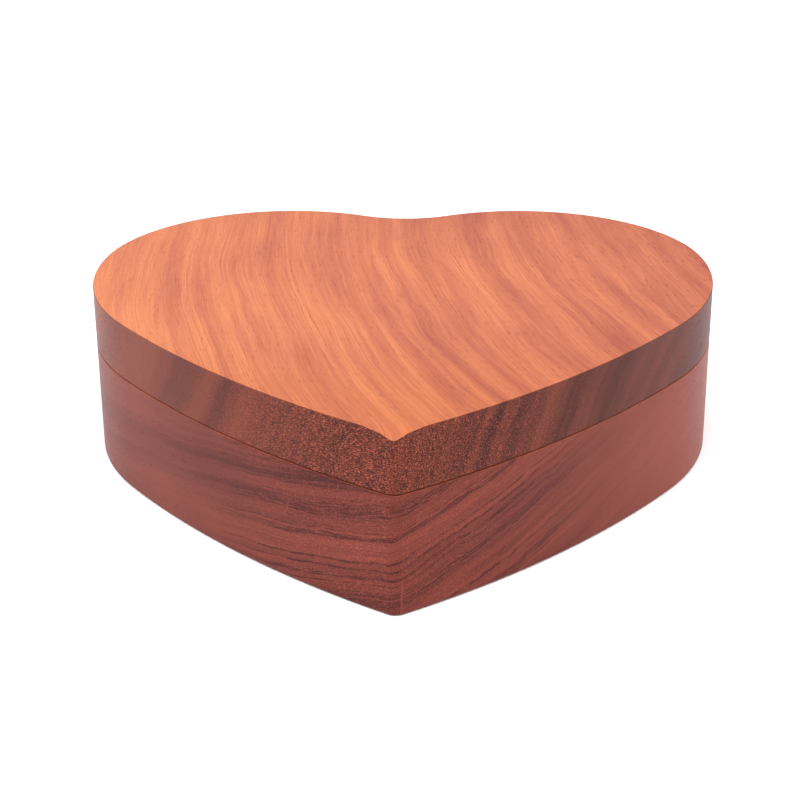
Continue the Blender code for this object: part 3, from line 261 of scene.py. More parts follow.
def turned(profile, count=64):
    """A solid of revolution about Z from (radius, z) points; an open profile closes on itself."""
    rings, points = [], []
    for radius, z in profile:
        if radius == 0:
            rings.append([len(points)])
            points.append((0, 0, z))
        else:
            rings.append(list(range(len(points), len(points) + count)))
            points += [(x, y, z) for x, y in circle(radius, count)]
    closing = [] if profile[0][0] == 0 else [(rings[-1], rings[0])]
    faces = []
    for a, b in list(zip(rings, rings[1:])) + closing:
        for i in range(count):
            j = (i + 1) % count
            face = [a[i % len(a)], a[j % len(a)], b[j % len(b)], b[i % len(b)]]
            faces.append(list(dict.fromkeys(face)))
    return mesh_of(points, faces)


def moved(mesh, offset=(0, 0, 0), turn=None):
    if turn is not None:
        mesh.transform(turn.to_4x4())
    mesh.transform(Matrix.Translation(offset))
    return mesh


def eased_rod(radius, low, high, ease, count=40):
    """A rod along Z whose two ends are eased."""
    profile = [(0, low), (radius - ease, low), (radius, low + ease)]
    profile += [(radius, high - ease), (radius - ease, high), (0, high)]
    return turned(profile, count)


ALONG_X = Matrix.Rotation(pi / 2, 3, "Y")  # carries +Z to +X
ALONG_Y = Matrix.Rotation(-pi / 2, 3, "X")  # carries +Z to +Y


def combined(mesh, tool, operation):
    """One mesh joined to or cut by another, which is used up."""
    target, other = placed("target", mesh), placed("tool", tool)
    modifier = target.modifiers.new("Boolean", "BOOLEAN")
    modifier.operation = operation
    modifier.object = other
    modifier.solver = "EXACT"
    graph = bpy.context.evaluated_depsgraph_get()
    made = bpy.data.meshes.new_from_object(target.evaluated_get(graph))
    for obj in (target, other):
        bpy.data.objects.remove(obj)
    return made


def cut(mesh, *tools):
    for tool in tools:
        mesh = combined(mesh, tool, "DIFFERENCE")
    return mesh


def joined(mesh, *others):
    for other in others:
        mesh = combined(mesh, other, "UNION")
    return mesh


SHARP_ANGLE = radians(35)


def smooth(obj):
    """Smooth faces whose flat neighbours stay flat, and sharp edges past the sharp angle."""
    obj.data.shade_smooth()
    obj.data.set_sharp_from_angle(angle=SHARP_ANGLE)
    weighted = obj.modifiers.new("Flat faces stay flat", "WEIGHTED_NORMAL")
    weighted.keep_sharp = True


def ease_edges(obj, width):
    """Rounds every sharp edge."""
    bevel = obj.modifiers.new("Eased edges", "BEVEL")
    bevel.width = width
    bevel.segments = 2
    bevel.limit_method = "ANGLE"
    bevel.angle_limit = SHARP_ANGLE


def flattened(mesh):
    """A copy of the mesh, with near points merged and the triangles of each flat face joined up."""
    work = bmesh.new()
    work.from_mesh(mesh)
    bmesh.ops.remove_doubles(work, verts=work.verts, dist=0.002 * MM)
    bmesh.ops.dissolve_limit(work, angle_limit=radians(0.5), verts=work.verts, edges=work.edges)
    work.verts.index_update()
    points = [vertex.co.copy() for vertex in work.verts]
    faces = [[vertex.index for vertex in face.verts] for face in work.faces]
    work.free()
    return mesh_of(points, faces)


def stand_in(node, mesh, finish, ease=0.0):
    """A fine piece that stands for one CAD node, on its body and with its material slot."""
    if ease:
        mesh = flattened(mesh)
    body = frame["nodes"][node]["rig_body"]
    obj = link(f"fine_{node}", mesh, body, [node])
    mesh.materials.clear()
    mesh.materials.append(finish)
    if ease:
        ease_edges(obj, ease)
    smooth(obj)


def rounding(radius, steps=3):
    """(inset, rise) pairs of a quarter round, from the flat face to the wall."""
    turns = [pi / 2 * i / steps for i in range(steps + 1)]
    return [(radius * (1 - sin(t)), radius * (1 - cos(t))) for t in turns]


# ---------- materials
class Shader:
    """A material and a few short ways to add nodes to it."""

    def __init__(self, name):
        self.material = bpy.data.materials.new(name)
        self.material.use_nodes = True
        self.tree = self.material.node_tree
        self.bsdf = self.tree.nodes["Principled BSDF"]
        self.coordinates = self.tree.nodes.new("ShaderNodeTexCoord")

    def plug(self, socket, value):
        if isinstance(value, bpy.types.NodeSocket):
            self.tree.links.new(value, socket)
        elif socket.type == "RGBA" and len(value) == 3:
            socket.default_value = (*value, 1)
        else:
            socket.default_value = value

    def new(self, kind, *values):
        """A node of that kind, its first inputs set to the values or linked to them."""
        node = self.tree.nodes.new("ShaderNode" + kind)
        for socket, value in zip(node.inputs, values):
            self.plug(socket, value)
        return node

    def math(self, operation, first, second=0.0):
        node = self.new("Math", first, second)
        node.operation = operation
        return node.outputs[0]

    def add(self, first, *others):
        for other in others:
            first = self.math("ADD", first, other)
        return first

    def times(self, first, *others):
        for other in others:
            first = self.math("MULTIPLY", first, other)
        return first

    def size(self, value):
        return self.math("ABSOLUTE", value)

    def centred(self, noise):
        """Noise about zero, from noise about one half."""
        return self.math("SUBTRACT", noise, 0.5)

    def ranged(self, value, low, high, to_low=0.0, to_high=1.0):
        """A smooth step from to_low at low to to_high at high."""
        node = self.new("MapRange", value, low, high, to_low, to_high)
        node.interpolation_type = "SMOOTHSTEP"
        return node.outputs[0]

    def contour(self, noise, width):
        """1 along the lines where the noise is one half, falling to 0 at the width from it."""
        return self.ranged(self.size(self.centred(noise)), 0.0, width, 1.0, 0.0)

    def mix(self, factor, first, second, blend="MIX"):
        node = self.tree.nodes.new("ShaderNodeMix")
        node.data_type = "RGBA"
        node.blend_type = blend
        self.plug(node.inputs["Factor"], factor)
        self.plug(node.inputs[6], first)
        self.plug(node.inputs[7], second)
        return node.outputs[2]

    def split(self, vector):
        return self.new("SeparateXYZ", vector).outputs

    def vector(self, x, y, z):
        return self.new("CombineXYZ", x, y, z).outputs[0]

    def millimetres(self):
        """The point's x, y and z at rest."""
        return [self.times(axis, 1 / MM) for axis in self.split(self.coordinates.outputs["Object"])]

    def stretched(self, axes, scales, seed=0.0):
        """A place for noise: each axis times its own scale, and the last moved by the seed."""
        x, y, z = (self.times(axis, scale) for axis, scale in zip(axes, scales))
        return self.vector(x, y, self.add(z, seed))

    def noise(self, place, scale=1.0, detail=2.0, roughness=0.5):
        """Noise at a place in space or, where the place is one number, along a line."""
        node = self.tree.nodes.new("ShaderNodeTexNoise")
        in_space = place.type == "VECTOR"
        node.noise_dimensions = "3D" if in_space else "1D"
        self.plug(node.inputs["Vector" if in_space else "W"], place)
        node.inputs["Scale"].default_value = scale
        node.inputs["Detail"].default_value = detail
        node.inputs["Roughness"].default_value = roughness
        return node.outputs["Fac"]

    def bump(self, height, depth, strength):
        node = self.tree.nodes.new("ShaderNodeBump")
        node.inputs["Strength"].default_value = strength
        node.inputs["Distance"].default_value = depth
        self.plug(node.inputs["Height"], height)
        return node.outputs[0]

    def finish(self, colour, roughness, normal=None, **fixed):
        self.plug(self.bsdf.inputs["Base Color"], colour)
        self.plug(self.bsdf.inputs["Roughness"], roughness)
        if normal is not None:
            self.plug(self.bsdf.inputs["Normal"], normal)
        for name, value in fixed.items():
            self.bsdf.inputs[name.replace("_", " ")].default_value = value
        return self.material


# How the grain drifts towards +X on its way to the tip: its slope, and how the slope grows
# with X and falls with Y, per millimetre
GRAIN_SLOPE, SLOPE_PER_X, SLOPE_PER_Y = 0.23, 0.0012, 0.0014


def grain_frame(s, pith, seed):
    """Where a point lies in the tree: its (ring distance, along the grain, round the ring), in mm.

    pith is the ring centre's (x, z), well outside the piece.
    """
    x, y, z = s.millimetres()
    slope = s.add(GRAIN_SLOPE, s.times(x, SLOPE_PER_X), s.times(y, -SLOPE_PER_Y))
    x = s.add(x, s.times(y, slope))
    place = s.stretched((x, y, z), (0.035, 0.016, 0.035), seed)
    wander = s.times(s.centred(s.noise(place)), 6.0)
    place = s.stretched((x, y, z), (0.22, 0.040, 0.22), seed)
    ripple = s.times(s.centred(s.noise(place, detail=1)), 1.2)
    across = s.math("SUBTRACT", x, pith[0])
    down = s.math("SUBTRACT", z, pith[1])
    ring = s.math("SQRT", s.add(s.times(across, across), s.times(down, down)))
    around = z if abs(pith[0]) > abs(pith[1]) else x
    return s.add(ring, wander, ripple), y, around


WOOD_RELIEF, METAL_RELIEF = 0.06 * MM, 0.01 * MM
TIP_STAIN = (0.90, 0.83, 0.76)  # the wood's tint where it darkens towards the tip
PORE_STAIN = (0.50, 0.40, 0.38)


def scaled(colour, share):
    return tuple(share * channel for channel in colour)


def wood(name, flat, side, pith, band=0.17, pores=0.0, lines=0.0, worn=0.0, drifts_and_painted_light=(0, 0), seed=0.0):
    """Solid hardwood whose grain runs from the back to the tip of the heart.

    flat and side are (pale, dark) pairs for the faces along the grain and for the walls. The
    walls' pair is darker partly as end grain, which takes the finish darker, and partly as
    painted shade for the dimmer light that falls on the walls. band is the broad growth bands'
    number per millimetre. pores and lines are the strength of the end grain's specks and of the
    thin dark growth lines on the walls, and worn that of a pale scratch down the tip. fades is
    how the tone falls per millimetre towards +X and towards the back: partly the board's own
    drift and partly painted light and shade, such as the lid's right side painted darker, away
    from the light, and its top painted brighter towards the tip for the sheen there.
    """
    s = Shader(name)
    grain = grain_frame(s, pith, seed)
    ring = grain[0]
    x, y, z = s.millimetres()
    aside = s.size(x)
    _, normal_y, normal_z = s.split(s.coordinates.outputs["Normal"])
    wall = s.ranged(s.size(normal_z), 0.66, 0.82, 1.0, 0.0)
    end = s.times(s.ranged(s.size(normal_y), 0.66, 0.85), wall, pores)
    # The tone's slopes across the piece: partly the wood's own drift, partly painted shade on the side
    # away from the light and painted sheen towards the tip
    drift_and_painted_light = s.add(s.times(x, -drifts_and_painted_light[0]), s.times(y, -drifts_and_painted_light[1]))

    bands = s.noise(s.add(s.times(ring, band), seed))
    streaks = s.noise(s.stretched(grain, (0.62, 0.024, 0.02), seed), detail=3, roughness=0.55)
    fibre = s.noise(s.stretched(grain, (2.3, 0.07, 0.35)), detail=3, roughness=0.7)
    cloud = s.centred(s.noise(s.stretched(grain, (0.05, 0.022, 0.03), seed)))

    # Tones run from 0, the dark colour, to 1, the pale one
    streaky = s.ranged(y, -45.0, 35.0, 0.48, 0.28)
    tone = s.add(
        s.times(s.ranged(bands, 0.28, 0.72), 0.30),
        s.times(s.centred(s.ranged(streaks, 0.28, 0.72)), streaky),
        s.times(s.ranged(fibre, 0.30, 0.70), 0.28),
        0.21,
        s.times(cloud, 0.7),
        drift_and_painted_light,
    )
    face_colour = s.mix(tone, flat[1], flat[0])
    face_colour = s.mix(s.ranged(y, -15.0, -65.0), face_colour, TIP_STAIN, "MULTIPLY")
    banded = s.ranged(x, 18.0, 52.0, 0.46, 0.18)
    streaky = s.ranged(aside, 18.0, 50.0, 0.40, 0.12)
    wall_tone = s.add(
        s.times(s.centred(s.ranged(bands, 0.32, 0.68)), banded),
        s.times(s.centred(s.ranged(streaks, 0.34, 0.66)), streaky),
        s.ranged(aside, 40.0, 66.0, 0.35, 0.50),
        s.times(fibre, 0.30),
        s.times(cloud, 0.8),
        drift_and_painted_light,
    )
    # The walls' colour from the side pair, darker than the faces partly as end grain and partly as
    # painted shade
    wall_colour_with_painted_shade = s.mix(wall_tone, side[1], side[0])

    # Thin dark growth lines, broken up along their length and strongest near the tip
    thin = s.contour(s.noise(s.add(s.times(ring, 0.62), seed)), 0.045)
    thin = s.times(thin, s.ranged(fibre, 0.38, 0.56), s.ranged(aside, 22.0, 46.0, 1.0, 0.08))
    wall_colour_with_painted_shade = s.mix(s.times(thin, lines), wall_colour_with_painted_shade, scaled(side[1], 0.30))

    # End grain: open pores seen as light and dark specks
    specks = s.noise(s.stretched(grain, (4.0, 0.6, 4.0)), roughness=0.75)
    light = s.times(s.ranged(specks, 0.56, 0.64), end)
    hollow = s.times(s.ranged(specks, 0.50, 0.40), end)
    wall_colour_with_painted_shade = s.mix(s.times(hollow, 0.85), wall_colour_with_painted_shade, scaled(side[1], 0.2))
    wall_colour_with_painted_shade = s.mix(s.times(light, 0.80), wall_colour_with_painted_shade, scaled(side[0], 2.9))

    # The scratch: a wavering line 2 mm to the right of the tip, only on the lowest part
    sway = s.times(s.noise(s.times(z, 0.4)), 1.2)
    scratch = s.ranged(s.size(s.add(x, sway, -2.0)), 0.05, 0.35, 1.0, 0.0)
    scratch = s.times(scratch, s.ranged(z, 8.5, 6.5), s.ranged(normal_y, -0.7, -0.9), worn)
    wall_colour_with_painted_shade = s.mix(scratch, wall_colour_with_painted_shade, side[0])

    # Long grain: hair lines, and short fine pores along the fibres
    hair = s.contour(s.noise(s.times(ring, 1.5), roughness=0.6), 0.04)
    hair = s.times(hair, s.ranged(streaks, 0.42, 0.60), 0.5)
    face_colour = s.mix(hair, face_colour, scaled(flat[1], 0.8))
    pore = s.noise(s.stretched(grain, (4.6, 0.30, 2.0)), detail=1, roughness=0.4)
    pore = s.times(s.ranged(pore, 0.62, 0.72), s.ranged(end, 0.0, 1.0, 1.0, 0.2))
    colour = s.mix(wall, face_colour, wall_colour_with_painted_shade)
    colour = s.mix(s.times(pore, 0.42), colour, s.mix(1.0, colour, PORE_STAIN, "MULTIPLY"))
    roughness = s.add(0.36, s.times(fibre, 0.16), s.times(pore, 0.14), s.times(end, 0.08))
    sunk = s.add(s.times(pore, -1.0), s.times(hollow, -0.7))
    height = s.add(s.times(fibre, 0.5), sunk, s.times(light, 0.3))
    normal = s.bump(height, WOOD_RELIEF, 0.4)
    return s.finish(colour, roughness, normal, IOR=1.5, Specular_IOR_Level=0.12)


BRASS, GILT, STEEL = (0.76, 0.56, 0.26), (0.80, 0.61, 0.32), (0.60, 0.60, 0.59)


def metal(name, colour, roughness, grain, tarnish=0.25, depth=0.4):
    """A metal with fine tool marks and a little tarnish.

    grain is "x" or "y" for marks along that axis, "turned_x" or "turned_z" for the rings that a
    lathe leaves about the cylinder's axis or the winding arbor's, or "cast".
    """
    s = Shader(name)
    x, y, z = s.millimetres()
    if grain == "turned_x":
        place = s.times(x, 9.0)
    elif grain == "turned_z":
        across = s.math("SUBTRACT", y, MOVEMENT.y / MM)
        radius = s.math("SQRT", s.add(s.times(x, x), s.times(across, across)))
        place = s.add(s.times(radius, 8.0), s.times(z, 8.0))
    else:
        scales = {"x": (0.35, 9.0, 9.0), "y": (9.0, 0.35, 9.0), "cast": (6.0, 6.0, 6.0)}[grain]
        place = s.stretched((x, y, z), scales)
    marks = s.noise(place, detail=4, roughness=0.7)
    patches = s.ranged(s.noise(s.vector(x, y, z), scale=0.22, detail=3), 0.35, 0.70)
    dull = tuple(c * shade for c, shade in zip(colour, (0.74, 0.66, 0.60)))
    tone = s.mix(s.times(patches, tarnish), colour, dull)
    tone = s.mix(s.times(marks, 0.22), tone, scaled(colour, 0.72))
    rough = s.add(roughness - 0.06, s.times(marks, 0.14), s.times(patches, 0.10))
    return s.finish(tone, rough, s.bump(marks, METAL_RELIEF, depth), Metallic=1.0)


def nylon(name):
    """Moulded natural nylon, faintly translucent."""
    s = Shader(name)
    place = s.coordinates.outputs["Object"]
    clouds = s.noise(place, scale=180.0, detail=3)
    skin = s.noise(place, scale=5200.0, detail=2)
    tone = s.mix(s.ranged(clouds, 0.3, 0.7), (0.56, 0.54, 0.47), (0.66, 0.65, 0.59))
    rough = s.add(0.34, s.times(skin, 0.16))
    normal = s.bump(skin, METAL_RELIEF, 0.4)
    return s.finish(tone, rough, normal, Subsurface_Weight=0.12, Subsurface_Scale=0.8 * MM)


# ---------- camera, floor and light
def place_camera():
    """The photograph's view: a long lens, a little above the box and facing the tip."""
    width = 145 * MM
    azimuth, elevation, roll = radians(-1.27), radians(23.66), radians(-0.37)
    distance, right_shift, up_shift = 2.912 * width, 0.0020 * width, 0.0204 * width
    centre = Vector((0, (TIP_Y + REAR_Y) / 2, TOTAL_HEIGHT / 2))
    right = Vector((cos(azimuth), -sin(azimuth), 0))
    level = Vector((sin(azimuth), cos(azimuth), 0))
    ahead = level * cos(elevation) + Vector((0, 0, -sin(elevation)))
    up = level * sin(elevation) + Vector((0, 0, cos(elevation)))
    data = bpy.data.cameras.new("camera")
    data.lens = 83.1
    data.sensor_width = 36
    data.clip_start = 0.01
    camera = placed("camera", data)
    axes = Matrix((right, up, -ahead)).transposed()
    axes = axes @ Matrix.Rotation(roll, 3, "Z")
    camera.matrix_world = axes.to_4x4()
    camera.location = centre - ahead * distance - right * right_shift - up * up_shift
    bpy.context.scene.camera = camera


def build_studio():
    """A pale floor under an overhead softbox, with a panel at each side and a white room."""
    floor = placed("floor", block((-4, 4), (-4, 4), (-0.02, -0.0002)))
    s = Shader("floor_white")
    grain = s.noise(s.coordinates.outputs["Object"], scale=60, detail=2)
    floor.data.materials.append(s.finish(s.mix(grain, (0.79, 0.79, 0.80), (0.81, 0.81, 0.82)), 0.7))
    sun_data = bpy.data.lights.new("overhead", "SUN")
    sun_data.energy = 4.0
    sun_data.angle = radians(70)
    sun = placed("overhead", sun_data)
    sun.rotation_euler = (radians(18), radians(-6), 0)
    for name, x in (("left_panel", -0.62), ("right_panel", 0.62)):
        data = bpy.data.lights.new(name, "AREA")
        data.shape = "RECTANGLE"
        data.size, data.size_y = 0.5, 0.4
        data.energy = 2.1
        panel = placed(name, data)
        panel.location = (x, 0.10, 0.22)
        aim = Vector((0, 0, 20 * MM)) - panel.location
        panel.rotation_euler = aim.to_track_quat("-Z", "Y").to_euler()
    world = bpy.data.worlds.new("studio")
    world.use_nodes = True
    background = world.node_tree.nodes["Background"]
    background.inputs["Color"].default_value = (1.0, 1.0, 1.0, 1)
    background.inputs["Strength"].default_value = 0.58
    bpy.context.scene.world = world
    bpy.context.scene.view_settings.view_transform = "Standard"


# ---------- the wooden shells
HINGE_XS = {"left": -LOBE_X, "right": LOBE_X}
PILOT_DEPTH = 6.5 * MM
CLEAR = 5 * MM  # how far a cutter reaches past the wood


def hole(radius, low, high, node, count=48):
    """A cutter for a round hole in line with a node."""
    return moved(rod(radius, low, high, count), (*centre_of(node).xy, 0))


def pilot_holes(screws, low, high):
    """The holes for a hinge leaf's two screws."""
    return [hole(0.9 * MM, low, high, f"{screws}_{number}", 32) for number in (1, 2)]


def hinge_cutters(x, low, high):
    """One hinge's mortise for its leaf, and the slightly wider room round its knuckles."""
    half = 7.2 * MM
    front, back = HINGE_Y - LEAF_DEPTH - 0.2 * MM, HINGE_Y + 3 * MM
    mortise = block((x - half, x + half), (front, back), (low, high))
    half += 0.1 * MM
    room = rod(KNUCKLE_RADIUS + 0.3 * MM, x - half, x + half, 40)
    return mortise, moved(room, (0, HINGE_Y, HINGE_Z), ALONG_X)


def cavity(end, rim):
    """The cutter that hollows a shell from its rim to a flat end, with the mouth's edge broken."""
    outward = 1 if rim > end else -1
    walls = heart(WALL, INNER_TIP_RADIUS)
    mouth = heart(WALL - CAVITY_BREAK, INNER_TIP_RADIUS + CAVITY_BREAK)
    sections = [(walls, end), (walls, rim - outward * CAVITY_BREAK)]
    sections += [(mouth, rim), (mouth, rim + outward * CLEAR)]
    return loft(sections[::outward])


def shell(low, low_break, high, high_break, high_tip_radius):
    """A solid heart whose bottom and top edges are broken by quarter rounds."""
    sections = []
    for inset, rise in rounding(low_break):
        sections.append((heart(inset, BASE_TIP_RADIUS - inset), low + rise))
    for inset, rise in reversed(rounding(high_break)):
        sections.append((heart(inset, high_tip_radius - inset), high - rise))
    return loft(sections)


def build_base():
    mouth = KEY_POCKET_RADIUS + 0.5 * MM
    pocket = [(0, -CLEAR), (mouth, -CLEAR), (mouth, 0), (KEY_POCKET_RADIUS, 0.5 * MM)]
    pocket += [(KEY_POCKET_RADIUS, KEY_POCKET_DEPTH), (0, KEY_POCKET_DEPTH)]
    magnet_seat = span("base_magnet", 2)[0] - 0.1 * MM
    through_floor = (5 * MM, 20 * MM)
    mesh = cut(
        shell(0, EDGE_BREAK, BASE_HEIGHT, SEAM_BREAK, BASE_TIP_RADIUS),
        cavity(FLOOR_Z, BASE_HEIGHT),
        moved(turned(pocket, 120), (*centre_of("winding_key").xy, 0)),
        hole(KEY_HOLE_RADIUS, *through_floor, "winding_key"),
        hole(MAGNET_HOLE_RADIUS, magnet_seat, BASE_HEIGHT + MM, "base_magnet"),
    )
    for number in (1, 2, 3):
        mesh = cut(mesh, hole(MOUNTING_HOLE_RADIUS, *through_floor, f"mounting_screw_{number}"))
    seat = BASE_HEIGHT - LEAF_THICKNESS - 0.1 * MM
    for side, x in HINGE_XS.items():
        mesh = cut(mesh, *hinge_cutters(x, seat, BASE_HEIGHT + CLEAR))
        mesh = cut(mesh, *pilot_holes(f"hinge_base_screw_{side}", BASE_HEIGHT - PILOT_DEPTH, BASE_HEIGHT))
    stand_in("base", mesh, BASE_WOOD)


def build_lid():
    low = BASE_HEIGHT + LID_GAP
    magnet_seat = span("lid_magnet", 2)[1] + 0.1 * MM
    mesh = cut(
        shell(low, SEAM_BREAK, TOTAL_HEIGHT, EDGE_BREAK, LID_TIP_RADIUS),
        cavity(LID_CEILING_Z, low),
        hole(MAGNET_HOLE_RADIUS, low - MM, magnet_seat, "lid_magnet"),
    )
    for side, x in HINGE_XS.items():
        mesh = cut(mesh, *hinge_cutters(x, low - CLEAR, low + LEAF_THICKNESS + 0.1 * MM))
        mesh = cut(mesh, *pilot_holes(f"hinge_lid_screw_{side}", low, low + PILOT_DEPTH))
    # The top is sanded down a little at the very tip
    for back, slope in ((4.6 * MM, radians(11)), (2.7 * MM, radians(32))):
        blade = block((-15 * MM, 15 * MM), (-20 * MM, 0), (0, 10 * MM))
        start = (0, TIP_Y + back, TOTAL_HEIGHT)
        mesh = cut(mesh, moved(blade, start, Matrix.Rotation(slope, 3, "X")))
    stand_in("lid", mesh, LID_WOOD)


# ---------- fasteners and hinges
def slotted(mesh, radius, top, width, depth, turn):
    """The screw with a slot across its head, turned about its axis."""
    half = width / 2
    slot = block((-2 * radius, 2 * radius), (-half, half), (top - depth, top + MM))
    return cut(mesh, moved(slot, turn=Matrix.Rotation(turn, 3, "Z")))


THREAD_ROOT = 0.84  # the thread's root, as a share of the shank's radius


def ringed(shank, top, bottom, pitch):
    """A shank's profile from its top to its point, with a ridge for each turn of the thread."""
    count = max(1, int((top - bottom) / pitch))
    step, root = (top - bottom) / count, THREAD_ROOT * shank
    profile = []
    for i in range(count):
        z = top - (top - bottom) * i / count
        profile += [(root, z - 0.15 * step), (shank, z - 0.5 * step), (root, z - 0.85 * step)]
    return profile


def pan_screw(head, height, shank, length, turn):
    """A domed, slotted head up along +Z from z = 0, with its threaded shank below."""
    dome = ((0, 1), (0.45, 0.985), (0.75, 0.90), (0.93, 0.72), (1, 0.45), (1, 0.08), (0.97, 0))
    profile = [(head * r, height * z) for r, z in dome] + [(THREAD_ROOT * shank, 0)]
    profile += ringed(shank, -0.4 * MM, -length + 0.2 * MM, 0.4 * MM)
    profile += [(0.6 * shank, -length), (0, -length)]
    return slotted(turned(profile, 40), head, height, 0.45 * MM, 0.45 * height, turn)


def flat_screw(head, shank, length, turn):
    """Countersunk, with its head level with z = 0."""
    cone, ease, point = head - shank, 0.04 * MM, 0.15 * MM
    profile = [(0, 0), (head - ease, 0), (head, -ease), (shank, -cone)]
    profile += ringed(shank, -cone - 0.2 * MM, -length + 0.8 * MM, 0.6 * MM)
    profile += [(point, -length), (0, -length)]
    return slotted(turned(profile, 40), head, 0, 0.35 * MM, 0.35 * MM, turn)


# Pan screws: the name and the numbers of the nodes, the head's height, the shank's radius and
# the way that the head points
PAN_SCREWS = (
    ("comb_screw", ("_1", "_2"), 1.3 * MM, 0.8 * MM, "up"),
    ("bridge_screw", ("_1", "_2"), 1.2 * MM, 0.8 * MM, "up"),
    ("governor_screw", ("_1", "_2"), 1.0 * MM, 0.6 * MM, "up"),
    ("click_screw", ("",), 0.8 * MM, 0.6 * MM, "up"),
    ("click_spring_screw", ("",), 0.7 * MM, 0.55 * MM, "up"),
    ("stop_lever_screw", ("",), 0.9 * MM, 0.65 * MM, "back"),
    ("mounting_screw", ("_1", "_2", "_3"), 1.6 * MM, 1.1 * MM, "down"),
)
WOOD_SCREW_RADIUS = 0.75 * MM
UPSIDE_DOWN = Matrix.Rotation(pi, 3, "X")


def build_screws():
    every = [(name + end, *sizes) for name, ends, *sizes in PAN_SCREWS for end in ends]
    for number, (node, height, shank, way) in enumerate(every):
        turn, axis = {"up": (None, 2), "down": (UPSIDE_DOWN, 2), "back": (ALONG_Y, 1)}[way]
        low, high = span(node, axis)
        seat = centre_of(node)
        seat[axis] = low + height if way == "down" else high - height
        slot_turn = radians(25 + 55 * number)
        mesh = pan_screw(half_width(node), height, shank, high - low - height, slot_turn)
        finish = SCREW_BRASS if node.startswith("comb") else SCREW_STEEL
        stand_in(node, moved(mesh, seat, turn), finish)
    for number, side in enumerate(("left_1", "left_2", "right_1", "right_2")):
        for body, way in (("base", None), ("lid", UPSIDE_DOWN)):
            node = f"hinge_{body}_screw_{side}"
            low, high = span(node, 2)
            seat = centre_of(node)
            seat.z = low if way else high
            slot_turn = radians(40 * number)
            mesh = flat_screw(half_width(node), WOOD_SCREW_RADIUS, high - low, slot_turn)
            stand_in(node, moved(mesh, seat, way), HINGE_BRASS)


HINGE_WIDTH, KNUCKLE_WIDTH = 14.0 * MM, 4.2 * MM
HINGE_PIN_RADIUS = 0.6 * MM
HINGE_SCREW_DX = 4.3 * MM


def leaf(plate_z, knuckles, gaps, face_z, screws_y, turn):
    """A hinge leaf about the hinge axis, with its knuckles, its bore and two countersinks."""
    half = HINGE_WIDTH / 2
    mesh = block((-half, half), (-LEAF_DEPTH, -0.2 * MM), plate_z)
    clear = KNUCKLE_RADIUS + 0.25 * MM
    for low, high in gaps:
        mesh = cut(mesh, block((low - 0.15 * MM, high + 0.15 * MM), (-clear, MM), (-clear, clear)))
    for low, high in knuckles:
        mesh = joined(mesh, moved(rod(KNUCKLE_RADIUS, low, high, 64), turn=ALONG_X))
    bore = rod(HINGE_PIN_RADIUS + 0.1 * MM, -HINGE_WIDTH, HINGE_WIDTH, 40)
    mesh = cut(mesh, moved(bore, turn=ALONG_X))
    head, shank = 1.4 * MM, 0.9 * MM
    sink = [(0, MM), (head, MM), (head, 0), (shank, shank - head), (shank, -2 * MM), (0, -2 * MM)]
    for dx in (-HINGE_SCREW_DX, HINGE_SCREW_DX):
        mesh = cut(mesh, moved(turned(sink, 40), (dx, screws_y, face_z), turn))
    return mesh


def build_hinges():
    half, gap = HINGE_WIDTH / 2, 0.2 * MM
    outer = [(-half, -half + KNUCKLE_WIDTH), (half - KNUCKLE_WIDTH, half)]
    inner = [(-half + KNUCKLE_WIDTH + gap, half - KNUCKLE_WIDTH - gap)]
    rim = BASE_HEIGHT - HINGE_Z
    for side, x in HINGE_XS.items():
        axis = Vector((x, HINGE_Y, HINGE_Z))
        screws_y = centre_of(f"hinge_base_screw_{side}_1").y - HINGE_Y
        low_leaf = leaf((rim - LEAF_THICKNESS, rim), outer, inner, rim, screws_y, None)
        high_leaf = leaf((-rim, -rim + LEAF_THICKNESS), inner, outer, -rim, screws_y, UPSIDE_DOWN)
        for body, mesh in (("base", low_leaf), ("lid", high_leaf)):
            stand_in(f"hinge_{body}_leaf_{side}", moved(mesh, axis), HINGE_BRASS, 0.06 * MM)
        pin = eased_rod(HINGE_PIN_RADIUS, -half, half, 0.15 * MM)
        stand_in(f"hinge_pin_{side}", moved(pin, axis, ALONG_X), SCREW_STEEL)


def build_magnets():
    for node in ("base_magnet", "lid_magnet"):
        magnet = eased_rod(half_width(node), *span(node, 2), 0.2 * MM, 64)
        stand_in(node, moved(magnet, (*centre_of(node).xy, 0)), NICKEL)


# ---------- gear shapes
PRESSURE_ANGLE = radians(20)


def involute(angle):
    return tan(angle) - angle


def gear_outline(teeth, module, thickness=0.40, tip=0.85, root=1.2, per_flank=6, phase=0.0):
    """A spur gear's outline with involute flanks and a tooth centred on the phase angle."""
    pitch_radius = module * teeth / 2
    base_radius = pitch_radius * cos(PRESSURE_ANGLE)
    low, high = pitch_radius - root * module, pitch_radius + tip * module
    start = max(low, base_radius)

    def half_angle(radius):
        pressure = acos(min(1, base_radius / max(radius, base_radius)))
        return pi / teeth * thickness + involute(PRESSURE_ANGLE) - involute(pressure)

    radii = [low] + [start + (high - start) * i / (per_flank - 1) for i in range(per_flank)]
    if low >= base_radius:
        radii = radii[1:]
    outline = []
    for tooth in range(teeth):
        middle = phase + 2 * pi * tooth / teeth
        flank = [(r, half_angle(r)) for r in radii]
        turns = [(r, middle - a) for r, a in flank] + [(r, middle + a) for r, a in flank[::-1]]
        outline += [(r * cos(t), r * sin(t)) for r, t in turns]
    return outline


def spur_gear(outline, width, bore, twist=0.0):
    """A gear centred on z = 0 with a round bore, its teeth slanting by twist radians per metre."""
    steps = 6 if twist else 1
    levels = []
    for i in range(steps + 1):
        z = width * (i / steps - 0.5)
        c, s = cos(twist * z), sin(twist * z)
        levels.append(([(x * c - y * s, x * s + y * c) for x, y in outline], z))
    return cut(loft(levels), rod(bore, -width, width, 40))


def facing(angle):
    """The angle, in an outline turned to lie across X, of a direction in the Y-Z plane."""
    return atan2(cos(angle), -sin(angle))


